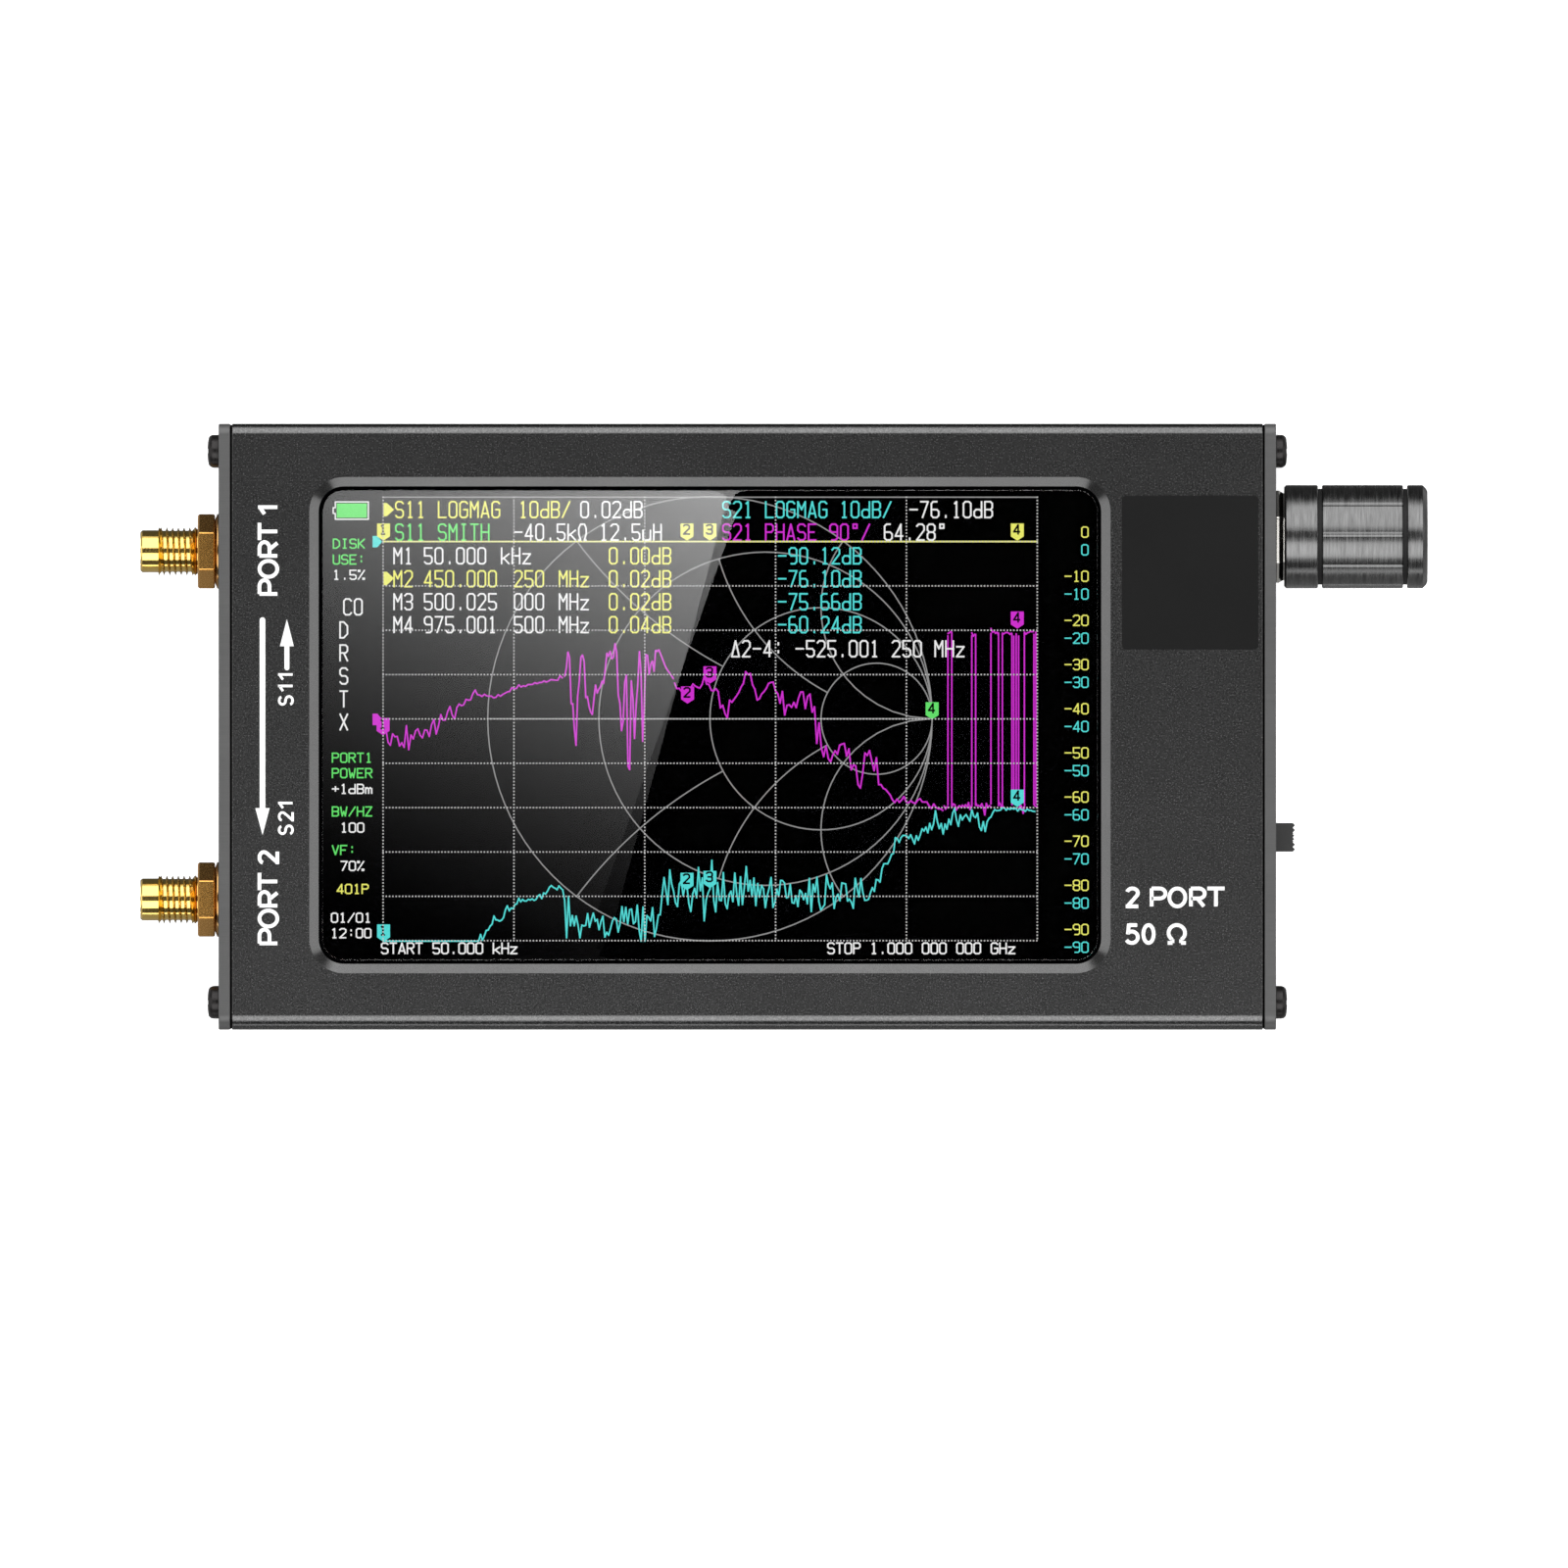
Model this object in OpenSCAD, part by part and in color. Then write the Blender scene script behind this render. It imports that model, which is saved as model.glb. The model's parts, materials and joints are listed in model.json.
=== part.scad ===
// Handheld two-port vector network analyzer, lying on its flat back.
// The origin is the centre of the back face. +Z is the way the screen faces,
// +X runs from the ports to the knob, and +Y is the top edge of the screen.

/* [Case] */
// Length over both end plates
case_len = 130; // [128:1:180]
// Width across the two long edges
case_w = 74.5; // [74:0.5:110]
// Thickness from the back face to the front face
case_t = 22; // [21.5:0.5:30]
// Radius of the long outside edges
edge_r = 1.5; // [0.5:0.1:2.5]
// Thickness of the long side walls
side_wall = 1.5; // [1.2:0.1:1.6]
// Thickness of the front wall around the screen
front_wall = 1.8; // [1.7:0.1:2.2]
// Thickness of the back wall
back_wall = 1.5; // [1.2:0.1:2]
// Thickness of each end plate
plate_t = 1.5; // [1:0.1:2.5]

/* [Window] */
// Length of the opening in the front wall
win_w = 96.2; // [80:0.2:100]
// Height of the opening in the front wall
win_h = 58.7; // [45:0.1:59]
// Corner radius of the opening
win_r = 3.1; // [1:0.1:6]
// Place of the opening along the case
win_x = -4.6; // [-8:0.1:0]
// Place of the opening across the case
win_y = 0.2; // [-0.3:0.1:0.3]
// Width of the bevel around the opening
bevel_w = 1.15; // [0.3:0.05:1.5]
// Depth of the bevel around the opening
bevel_d = 1; // [0.3:0.05:1.3]

/* [Display] */
// Gap between the cover glass and the opening
glass_gap = 0.45; // [0.2:0.05:0.8]
// Depth of the glass below the front face
glass_recess = 0.95; // [0.5:0.05:1.2]
// Thickness of the cover glass
cover_t = 1.15; // [0.9:0.05:1.4]
// Thickness of the liquid crystal panel
lcd_t = 1.3; // [1:0.1:1.8]
// Thickness of the backlight tray
tray_t = 1.6; // [1:0.1:2]
// How far the tray reaches past the cover glass at each end
tray_border_x = 3.85; // [2:0.05:5]
// How far the tray reaches past the cover glass at each long side
tray_border_y = 2.4; // [1:0.05:2.4]
// Width of the flat ribbon cable
ribbon_w = 24; // [10:1:40]

/* [Ports] */
// Place of port 1 across the case
port_1_y = 21.6; // [16:0.1:24]
// Place of port 2 across the case
port_2_y = -21.25; // [-24:0.05:-16]
// Radius over the coupling thread
port_r = 3.1; // [3.05:0.05:3.8]
// Depth of the coupling thread
thread_depth = 0.4; // [0.3:0.05:0.45]
// Length of thread that stands free outside the nut
port_thread_len = 4.8; // [3:0.1:8]
// Radius of the plain nose in front of the thread
port_nose_r = 2.65; // [2.5:0.05:3]
// Length of the plain nose
port_nose_len = 2.2; // [1.9:0.1:3]
// Radius of the insulator
insulator_r = 2.05; // [1.5:0.05:2.1]
// Radius of the centre contact
contact_r = 0.635; // [0.5:0.005:0.8]
// Width across the flats of the port nut
port_nut_af = 8; // [7.5:0.1:10]
// Thickness of the port nut
port_nut_t = 2.12; // [1.5:0.01:3]
// Height of the lock washer
washer_t = 0.52; // [0.3:0.01:1]
// Width and height of the square block behind the plate
port_block_w = 6.35; // [6:0.05:8]
// Depth of the square block behind the plate
port_block_t = 4; // [2:0.1:5]

/* [Knob] */
// Place of the knob across the case
knob_y = 23.4; // [18:0.1:26]
// Outside diameter of the knob
knob_d = 12.7; // [12.6:0.1:18]
// Gap between the end plate and the knob
knob_gap = 1.06; // [0.8:0.01:3]
// Length of the plain base of the knob
knob_base_len = 4.14; // [4:0.01:6]
// Length of the grooved grip
knob_grip_len = 9.95; // [8:0.05:15]
// Length of the plain end of the knob
knob_end_len = 2.5; // [1.5:0.05:5]
// Width of the two turned rings
knob_ring_w = 0.52; // [0.2:0.01:1]
// Number of grooves along the grip
knob_grooves = 10; // [6:1:16]
// Width of each groove along the grip
knob_groove_w = 0.7; // [0.3:0.05:1]
// How far the knob presses in
press_travel = 0.5; // [0.3:0.05:0.6]

/* [Encoder] */
// Radius of the shaft
shaft_r = 3; // [2.5:0.05:3.1]
// Radius of the threaded bushing
bushing_r = 3.5; // [3.4:0.05:4]
// Length of the bushing from the inside of the plate
bushing_len = 7; // [5:0.1:7.2]
// Length of the shaft from the inside of the plate
shaft_len = 15; // [13:0.1:15.5]
// Width across the flats of the encoder nut
encoder_nut_af = 10; // [9:0.1:10]
// Thickness of the encoder nut
encoder_nut_t = 2; // [1.5:0.1:2.2]
// Size of the encoder body across the board
encoder_w = 12; // [12:0.1:14]
// Size of the encoder body through the board
encoder_h = 12.5; // [12:0.1:14]
// Depth of the encoder body behind the plate
encoder_depth = 6.5; // [6.5:0.1:8]

/* [Power switch] */
// Place of the lever across the case when the analyzer is on
lever_y = -13.6; // [-20:0.1:-8]
// Width of the lever
lever_w = 3.55; // [3:0.05:5]
// Thickness of the lever
lever_t = 1.8; // [1:0.1:2]
// How far the lever stands out of the end plate
lever_out = 2.4; // [1:0.1:4]
// Travel of the lever from on to off
switch_travel = 2; // [1:0.1:3]

/* [Boards and battery] */
// Thickness of the main board
pcb_t = 1.6; // [0.8:0.1:2]
// Length of the battery cell
cell_l = 88; // [60:1:88]
// Width of the battery cell
cell_w = 58; // [40:1:60]
// Thickness of the battery cell
cell_t = 5.5; // [4:0.1:6]
// Length of the radio shield
shield_l = 32; // [20:1:34]
// Width of the radio shield
shield_w = 54; // [40:1:60]
// Height of the radio shield
shield_h = 3.2; // [2:0.1:5]
// Place of the charging socket across the case
usb_y = 4.5; // [0:0.1:8]

/* [Fastenings] */
// Radius of the end-plate screw heads
screw_head_r = 2; // [1.6:0.05:2.2]
// Height of the end-plate screw heads
screw_head_h = 1.43; // [1:0.01:2]
// Distance of the screws in from the long edges
screw_inset_y = 3.35; // [3.2:0.05:4]
// Distance of the screws in from the front and the back
screw_inset_z = 3.6; // [3.4:0.05:4]
// Radius of the screw shanks
screw_r = 0.85; // [0.7:0.05:1]
// Length of the screw shanks below the head
screw_len = 6; // [4:0.5:12]

/* [Hidden] */
$fn = 64;

// Clearances
cut = 0.5;              // how far a cutting shape runs past what it cuts
seat_clr = 0.02;        // round pieces seated in each other on one body
run_clr = 0.05;         // radial running fit of the shaft in its bushing
slide_clr = 0.3;        // beside pieces that move past each other
board_clr = 0.25;       // board edge to side wall
rail_clr = 0.1;         // board face to rail
pass_clr = 0.2;         // hole in a plate around what passes through it

// Case
end_x = case_len / 2 - plate_t;         // inside face of each end plate
wall_y = case_w / 2 - side_wall;        // inside face of each side wall
front_z = case_t - front_wall;          // inside face of the front wall
axis_z = case_t / 2;                    // height of both ports and the knob
screw_y = case_w / 2 - screw_inset_y;
boss_r = 2.1;
rail_t = 1;
rail_depth = 1.2;

// Display stack, from the glass down
glass_w = win_w - 2 * glass_gap;
glass_h = win_h - 2 * glass_gap;
glass_r = win_r - glass_gap;
glass_z = case_t - glass_recess;
lcd_z = glass_z - cover_t;
tray_z = lcd_z - lcd_t;
tray_w = glass_w + 2 * tray_border_x;
tray_h = glass_h + 2 * tray_border_y;
gasket_lap = 0.6;       // gasket inside edge to the glass edge
lcd_inset = 0.6;        // panel edge inside the tray edge
tray_lip = 0.4;

// Main board
solder_t = 0.02;
pcb_top = axis_z - contact_r - solder_t;
pcb_bottom = pcb_top - pcb_t;
pcb_left = -end_x + port_block_t;
pcb_right = end_x - 0.6;
shield_x = pcb_left + 6.5 + shield_l / 2;
shield_wall = 0.3;

// Ribbon and its socket
ribbon_t = 0.2;
ribbon_y = -6;
ribbon_x = win_x + tray_w / 2;          // tray edge that the ribbon leaves
ribbon_top = tray_z - tray_t / 2;
ribbon_low = pcb_top + 0.6;
ribbon_r = (ribbon_top - ribbon_low) / 2;
ribbon_run = 0.8;
socket_l = 4;
socket_h = 1.5;
socket_x = ribbon_x - 0.4;

// Ports, measured outward from the inside face of the plate
neck_r = port_r - thread_depth;         // where the nut and the barrel engage
washer_at = plate_t;
port_nut_at = washer_at + washer_t;
thread_at = port_nut_at + port_nut_t + 0.06;
nose_at = thread_at + port_thread_len;
port_len = nose_at + port_nose_len;
mate_depth = 1.9;                       // face of the insulator below the rim
socket_r = insulator_r + 0.25;
socket_bore_r = 0.465;
leg_len = 4;
leg_w = 1;
tail_len = 2.2;

// Knob and encoder, measured outward from the inside face of the plate
encoder_nut_at = plate_t;
encoder_nut_top = encoder_nut_at + encoder_nut_t;
nut_trim_r = encoder_nut_af * 0.565;
knob_r = knob_d / 2;
knob_at = plate_t + knob_gap;
ring_1_at = knob_at + knob_base_len;
grip_at = ring_1_at + knob_ring_w;
ring_2_at = grip_at + knob_grip_len;
knob_end_at = ring_2_at + knob_ring_w;
knob_top = knob_end_at + knob_end_len;
ring_depth = 0.45;
groove_depth = 0.35;
knob_chamfer = 0.6;
counterbore_r = nut_trim_r + 0.25;
counterbore_top = encoder_nut_top + press_travel + 0.25;
recess_top = bushing_len + press_travel + 0.2;
flat_at = shaft_r / 2;                  // flat of the shaft from its axis
flat_len = 7;
set_screw_r = 1.5;
set_screw_at = shaft_len - flat_len / 2;
set_screw_len = knob_r - flat_at - 0.85;
encoder_wall = 0.8;
rotor_t = 1.1;
rotor_r = encoder_w / 2 - encoder_wall - slide_clr;
rotor_at = -encoder_wall - slide_clr - 0.4 - rotor_t;
plunger_t = 1.2;
plunger_at = rotor_at - slide_clr - plunger_t;
dome_t = 0.25;
dome_at = -encoder_depth + encoder_wall;
nib_len = plunger_at - (dome_at + dome_t) - press_travel - 0.05;

// Charging socket
usb_w = 8.94;
usb_h = 3.26;
usb_r = 1.3;
usb_wall = 0.3;
usb_len = 7.35;
usb_x = end_x + plate_t / 2 - usb_len;
usb_z = pcb_top + usb_h / 2;

// Power switch
switch_mid = lever_y + switch_travel / 2;
switch_h = 3.5;
switch_depth = 3.6;
switch_wall = 0.3;
switch_x = end_x - 0.6 - switch_depth;
switch_base_t = 1;
lever_z = pcb_top + switch_h / 2;
stem_w = lever_w - 0.95;
carriage_w = stem_w + 2.8;
switch_w = carriage_w + switch_travel + 2 * slide_clr + 2 * switch_wall;
tooth_depth = 0.3;
teeth = 6;

// Battery
tape_t = 0.2;
cell_x = -2;
cell_z = back_wall + tape_t;
cell_end = cell_x + cell_l / 2;
lead_r = 0.55;
lead_y = -24;
lead_pitch = 2;
plug_l = 3;
plug_w = 5.2;
plug_h = 3.4;
plug_x = cell_end + 5.5;
header_l = 4;
header_h = 4.2;
lead_z = pcb_bottom - header_h + 1.75;

dark_metal = [0.2, 0.2, 0.21];
gold = [0.83, 0.64, 0.3];
steel = [0.72, 0.72, 0.74];
black = [0.05, 0.05, 0.06];

// ---- Shapes shared by several pieces ----

// Flat rounded rectangle, centred
module round_rect(w, h, r) {
    square([w - 2 * r, h], center = true);
    square([w, h - 2 * r], center = true);
    for (sx = [-1, 1], sy = [-1, 1])
        translate([sx * (w / 2 - r), sy * (h / 2 - r)]) circle(r);
}

// Upright rounded slab from height z
module slab(w, h, r, z, t) {
    translate([0, 0, z]) linear_extrude(height = t) round_rect(w, h, r);
}

// Rounded opening whose sides lean outward by grow over its depth
module funnel(w, h, r, grow, depth) {
    rotate([90, 0, 0])
        linear_extrude(height = h - 2 * r, center = true)
            polygon([[-w / 2, 0], [w / 2, 0], [w / 2 + grow, depth], [-w / 2 - grow, depth]]);
    rotate([90, 0, 90])
        linear_extrude(height = w - 2 * r, center = true)
            polygon([[-h / 2, 0], [h / 2, 0], [h / 2 + grow, depth], [-h / 2 - grow, depth]]);
    for (sx = [-1, 1], sy = [-1, 1])
        translate([sx * (w / 2 - r), sy * (h / 2 - r), 0]) cylinder(r1 = r, r2 = r + grow, h = depth);
}

// Flat outline drawn in Y and Z, carried along X from x0
module along_x(x0, len) {
    translate([x0, 0, 0]) rotate([90, 0, 90]) linear_extrude(height = len) children();
}

// Box given by its low corner and its size, centred on y
module block(x, y, z, l, w, h) {
    translate([x, y - w / 2, z]) cube([l, w, h]);
}

// Outline of the case and of both end plates
module case_outline() {
    translate([0, case_t / 2]) round_rect(case_w, case_t, edge_r);
}

// Places its children at the four end-plate screws, drawn in Y and Z
module screw_places() {
    for (sy = [-1, 1], z = [screw_inset_z, case_t - screw_inset_z])
        translate([sy * screw_y, z]) children();
}

// Local +Z points out of the left plate along a port, local +X is up
module port_place(y) {
    translate([-end_x, y, axis_z]) rotate([0, -90, 0]) children();
}

// Local +Z points out of the right plate along the knob, local +X is down
module knob_place() {
    translate([end_x, knob_y, axis_z]) rotate([0, 90, 0]) children();
}

// Ring of rectangular section
module tube(r_out, r_in, z, h) {
    translate([0, 0, z]) difference() {
        cylinder(r = r_out, h = h);
        translate([0, 0, -cut]) cylinder(r = r_in, h = h + 2 * cut);
    }
}

// Hexagonal nut with trimmed corners, one flat facing the front
module hex_nut(af, trim_r, r_in, z, h) {
    translate([0, 0, z]) difference() {
        intersection() {
            rotate([0, 0, 30]) cylinder(r = af / 2 / cos(30), h = h, $fn = 6);
            cylinder(r = trim_r, h = h);
        }
        translate([0, 0, -cut]) cylinder(r = r_in, h = h + 2 * cut);
    }
}

// ---- Case ----

module case_extrusion() {
    color(dark_metal) difference() {
        along_x(-end_x, 2 * end_x) difference() {
            case_outline();
            difference() {
                translate([-wall_y, back_wall]) square([2 * wall_y, front_z - back_wall]);
                screw_places() circle(boss_r);
                boss_webs();
                board_rails();
            }
            screw_places() circle(screw_r + run_clr);
        }
        translate([win_x, win_y, 0]) {
            slab(win_w, win_h, win_r, front_z - cut, front_wall + 2 * cut);
            translate([0, 0, case_t - bevel_d])
                funnel(win_w, win_h, win_r, bevel_w * 1.1, bevel_d * 1.1);
        }
    }
}

// Webs that tie each screw boss to the corner of the case
module boss_webs() {
    web_y = case_w / 2 - side_wall / 2;
    for (sy = [0, 1]) mirror([sy, 0]) {
        translate([screw_y, back_wall / 2]) square([web_y - screw_y, screw_inset_z - back_wall / 2]);
        translate([screw_y, case_t - screw_inset_z])
            square([web_y - screw_y, screw_inset_z - front_wall / 2]);
    }
}

// Two rails on each side wall that hold the edge of the main board
module board_rails() {
    for (sy = [0, 1], z = [pcb_top + rail_clr, pcb_bottom - rail_clr - rail_t])
        mirror([sy, 0]) translate([wall_y - rail_depth, z]) square([rail_depth + side_wall / 2, rail_t]);
}

module left_end_plate() {
    color(dark_metal) along_x(-case_len / 2, plate_t) difference() {
        case_outline();
        screw_places() circle(screw_r + pass_clr);
        for (y = [port_1_y, port_2_y]) translate([y, axis_z]) circle(port_r + pass_clr);
    }
}

module right_end_plate() {
    color(dark_metal) along_x(end_x, plate_t) difference() {
        case_outline();
        screw_places() circle(screw_r + pass_clr);
        translate([knob_y, axis_z]) circle(bushing_r + pass_clr);
        translate([usb_y, usb_z]) round_rect(usb_w + 2 * pass_clr, usb_h + 2 * pass_clr, usb_r + pass_clr);
        translate([switch_mid, lever_z])
            square([lever_w + switch_travel + 2 * slide_clr, lever_t + 2 * slide_clr], center = true);
    }
}

// Pan-head screw with a cross recess, drawn along +Z with the head's seat at 0
module plate_screw() {
    dome_r = screw_head_r * 1.2;
    difference() {
        union() {
            intersection() {
                cylinder(r = screw_head_r, h = screw_head_h);
                translate([0, 0, screw_head_h - dome_r]) sphere(dome_r);
            }
            translate([0, 0, -screw_len]) cylinder(r = screw_r, h = screw_len + 0.1);
        }
        for (a = [0, 90]) rotate([0, 0, a])
            translate([-screw_head_r * 0.6, -0.3, screw_head_h - 0.8]) cube([screw_head_r * 1.2, 0.6, 0.8 + cut]);
    }
}

module left_plate_screws() {
    color(dark_metal) for (sy = [-1, 1], z = [screw_inset_z, case_t - screw_inset_z])
        translate([-case_len / 2, sy * screw_y, z]) rotate([0, -90, 0]) plate_screw();
}

module right_plate_screws() {
    color(dark_metal) for (sy = [-1, 1], z = [screw_inset_z, case_t - screw_inset_z])
        translate([case_len / 2, sy * screw_y, z]) rotate([0, 90, 0]) plate_screw();
}

// Blank label stuck on the front between the window and the right end
module front_label() {
    label_l = 16.75;
    label_w = 18.9;
    color(black) translate([end_x - 0.7 - label_l / 2, 18.95, 0]) slab(label_l, label_w, 0.3, case_t, 0.12);
}

// ---- Display ----

module cover_glass() {
    color(black) translate([win_x, win_y, 0]) slab(glass_w, glass_h, glass_r, lcd_z, cover_t);
}

module display_gasket() {
    color(black) translate([win_x, win_y, 0]) difference() {
        slab(tray_w, tray_h, 1, lcd_z, front_z - lcd_z);
        slab(glass_w + 2 * gasket_lap, glass_h + 2 * gasket_lap, glass_r + gasket_lap, lcd_z - cut, 2);
    }
}

module lcd_panel() {
    color([0.15, 0.17, 0.2]) translate([win_x, win_y, 0])
        slab(tray_w - 2 * lcd_inset, tray_h - 2 * lcd_inset, 0.5, tray_z, lcd_t);
}

// Shallow tray with a lip around the panel
module display_tray() {
    color(steel) translate([win_x, win_y, 0]) difference() {
        slab(tray_w, tray_h, 1, tray_z - tray_t, tray_t + lcd_t);
        slab(tray_w - 2 * tray_lip, tray_h - 2 * tray_lip, 0.7, tray_z, lcd_t + cut);
    }
}

// Flat cable that leaves the tray, bends down through half a turn and enters its socket
module display_ribbon() {
    mid_z = (ribbon_top + ribbon_low) / 2;
    color([0.75, 0.45, 0.15]) {
        block(ribbon_x, ribbon_y, ribbon_top - ribbon_t, ribbon_run, ribbon_w, ribbon_t);
        block(socket_x, ribbon_y, ribbon_low, ribbon_x + ribbon_run - socket_x, ribbon_w, ribbon_t);
        translate([ribbon_x + ribbon_run, ribbon_y + ribbon_w / 2, mid_z]) rotate([90, 0, 0])
            linear_extrude(height = ribbon_w) difference() {
                circle(ribbon_r);
                circle(ribbon_r - ribbon_t);
                translate([-2 * ribbon_r, -ribbon_r - cut]) square([2 * ribbon_r, 2 * ribbon_r + 2 * cut]);
            }
    }
}

module display_connector() {
    color([0.9, 0.88, 0.8])
        block(socket_x - socket_l, ribbon_y, pcb_top, socket_l, ribbon_w + 3, socket_h);
}

// ---- Boards and battery ----

module main_board() {
    color([0.05, 0.25, 0.12]) difference() {
        block(pcb_left, 0, pcb_bottom, pcb_right - pcb_left, 2 * (wall_y - board_clr), pcb_t);
        block(end_x - encoder_depth, knob_y, pcb_bottom - cut,
            encoder_depth, encoder_w + 2 * slide_clr, pcb_t + 2 * cut);
    }
}

module rf_shield_frame() {
    color(steel) translate([shield_x, 0, pcb_top]) difference() {
        block(-shield_l / 2, 0, 0, shield_l, shield_w, shield_h);
        block(-shield_l / 2 + shield_wall, 0, -cut,
            shield_l - 2 * shield_wall, shield_w - 2 * shield_wall, shield_h + 2 * cut);
    }
}

// Cap over the frame, whose rim comes down outside it
module rf_shield_lid() {
    rim = 2;
    lid_l = shield_l + 2 * (shield_wall + seat_clr);
    lid_w = shield_w + 2 * (shield_wall + seat_clr);
    color(steel) translate([shield_x, 0, pcb_top + shield_h - rim]) difference() {
        block(-lid_l / 2, 0, 0, lid_l, lid_w, rim + shield_wall);
        block(-lid_l / 2 + shield_wall, 0, -cut, lid_l - 2 * shield_wall, lid_w - 2 * shield_wall, rim + cut);
    }
}

module processor_chip() {
    color(black) block(0, 8, pcb_top, 14, 14, 1.4);
}

module memory_chip() {
    color(black) block(20, 10, pcb_top, 8, 6, 1.2);
}

// Mixers and amplifiers under the shield, and the regulators beside the processor
module small_chips() {
    color(black) {
        for (y = [port_1_y, port_2_y], i = [0, 1])
            block(shield_x - 11 + i * 12, y, pcb_top, 4, 4, 0.9);
        for (i = [-1, 0, 1]) block(shield_x - 2, i * 8, pcb_top, 5, 4.4, 1.1);
        for (i = [0, 1]) block(2 + i * 9, -20, pcb_top, 3, 3, 1);
    }
}

module charger_coil() {
    color([0.25, 0.25, 0.25]) translate([30, -20, pcb_top]) {
        cylinder(r = 2.4, h = 2.6);
        translate([-2.6, -2.6, 0]) cube([5.2, 5.2, 0.5]);
    }
}

module crystal_oscillator() {
    color(steel) block(4, 22, pcb_top, 3.2, 2.5, 0.9);
}

module usb_socket_shell() {
    color(steel) along_x(usb_x, usb_len) translate([usb_y, usb_z]) difference() {
        round_rect(usb_w, usb_h, usb_r);
        round_rect(usb_w - 2 * usb_wall, usb_h - 2 * usb_wall, usb_r - usb_wall);
    }
}

// Insulating core that closes the back of the shell and carries the tongue
module usb_socket_tongue() {
    core_l = 2;
    color(black) {
        along_x(usb_x, core_l) translate([usb_y, usb_z])
            round_rect(usb_w - 2 * usb_wall, usb_h - 2 * usb_wall, usb_r - usb_wall);
        block(usb_x + core_l, usb_y, usb_z - 0.35, 4.6, 6.69, 0.7);
    }
}

module battery_connector() {
    color([0.9, 0.88, 0.8])
        block(plug_x + plug_l, lead_y, pcb_bottom - header_h, header_l, plug_w + 0.8, header_h);
}

module battery_plug() {
    color([0.9, 0.88, 0.8])
        block(plug_x, lead_y, lead_z - plug_h / 2, plug_l, plug_w, plug_h);
}

module battery_leads() {
    color([0.7, 0.1, 0.1]) for (s = [-1, 1])
        translate([cell_end, lead_y + s * lead_pitch / 2, lead_z]) rotate([0, 90, 0])
            cylinder(r = lead_r, h = plug_x - cell_end);
}

module battery_cell() {
    color([0.75, 0.76, 0.78]) translate([cell_x, 0, 0]) slab(cell_l, cell_w, 2, cell_z, cell_t);
}

module battery_tape() {
    color([0.85, 0.85, 0.8]) block(cell_x - cell_l * 0.4, 0, back_wall, cell_l * 0.8, cell_w * 0.7, tape_t);
}

// ---- Power switch ----

module power_switch_frame() {
    color(steel) difference() {
        block(switch_x, switch_mid, pcb_top, switch_depth, switch_w, switch_h);
        block(switch_x - cut, switch_mid, pcb_top + switch_wall,
            switch_depth - switch_wall + cut, switch_w - 2 * switch_wall, switch_h - 2 * switch_wall);
        block(switch_x, switch_mid, lever_z - lever_t / 2 - slide_clr,
            switch_depth + cut, stem_w + switch_travel + 2 * slide_clr, lever_t + 2 * slide_clr);
    }
}

module power_switch_base() {
    color([0.3, 0.18, 0.1]) {
        block(switch_x - switch_base_t, switch_mid, pcb_top, switch_base_t, switch_w, switch_h);
        for (i = [-1, 0, 1])
            block(switch_x - switch_base_t - 1.5, switch_mid + i * 2, pcb_top, 1.5, 0.6, 0.3);
    }
}

// Lever with a toothed thumb end, and the carriage that carries it in the switch
module power_switch_slider() {
    stem_x = switch_x + switch_depth - switch_wall - slide_clr;
    step_x = switch_x + switch_depth + slide_clr;
    tip_x = case_len / 2 + lever_out;
    pitch = lever_w / teeth;
    outline = concat(
        [[step_x, -lever_w / 2], [tip_x - tooth_depth, -lever_w / 2]],
        [for (i = [0 : teeth - 1], s = [0, 1])
            [tip_x - tooth_depth * (1 - s), -lever_w / 2 + (i + s / 2) * pitch]],
        [[tip_x - tooth_depth, lever_w / 2], [step_x, lever_w / 2]]);
    color([0.15, 0.15, 0.16]) {
        translate([0, lever_y, lever_z - lever_t / 2]) linear_extrude(height = lever_t) polygon(outline);
        block(stem_x - 0.1, lever_y, lever_z - lever_t / 2, step_x - stem_x + 0.2, stem_w, lever_t);
        block(switch_x + slide_clr, lever_y, pcb_top + switch_wall + slide_clr,
            stem_x - switch_x - slide_clr, carriage_w, switch_h - 2 * (switch_wall + slide_clr));
    }
}

// ---- Rotary encoder and knob ----

// Moulded body, open towards the plate
module encoder_case() {
    color(black) knob_place() difference() {
        translate([-encoder_h / 2, -encoder_w / 2, -encoder_depth])
            cube([encoder_h, encoder_w, encoder_depth - encoder_wall]);
        translate([-encoder_h / 2 + encoder_wall, -encoder_w / 2 + encoder_wall, dome_at])
            cube([encoder_h - 2 * encoder_wall, encoder_w - 2 * encoder_wall, encoder_depth]);
    }
}

// Metal front of the encoder with its threaded bushing
module encoder_bushing() {
    color(steel) knob_place() difference() {
        union() {
            translate([-encoder_h / 2, -encoder_w / 2, -encoder_wall]) cube([encoder_h, encoder_w, encoder_wall]);
            cylinder(r = bushing_r, h = bushing_len);
        }
        translate([0, 0, -encoder_wall - cut])
            cylinder(r = shaft_r + run_clr, h = encoder_wall + bushing_len + 2 * cut);
    }
}

module encoder_nut() {
    color(steel) knob_place()
        hex_nut(encoder_nut_af, nut_trim_r, bushing_r + seat_clr, encoder_nut_at, encoder_nut_t);
}

// Shaft with a flat near its end for the set screw
module encoder_shaft() {
    color(steel) knob_place() difference() {
        translate([0, 0, rotor_at]) cylinder(r = shaft_r, h = shaft_len - rotor_at);
        translate([flat_at, -shaft_r - cut, shaft_len - flat_len])
            cube([shaft_r, 2 * (shaft_r + cut), flat_len + cut]);
    }
}

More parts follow.
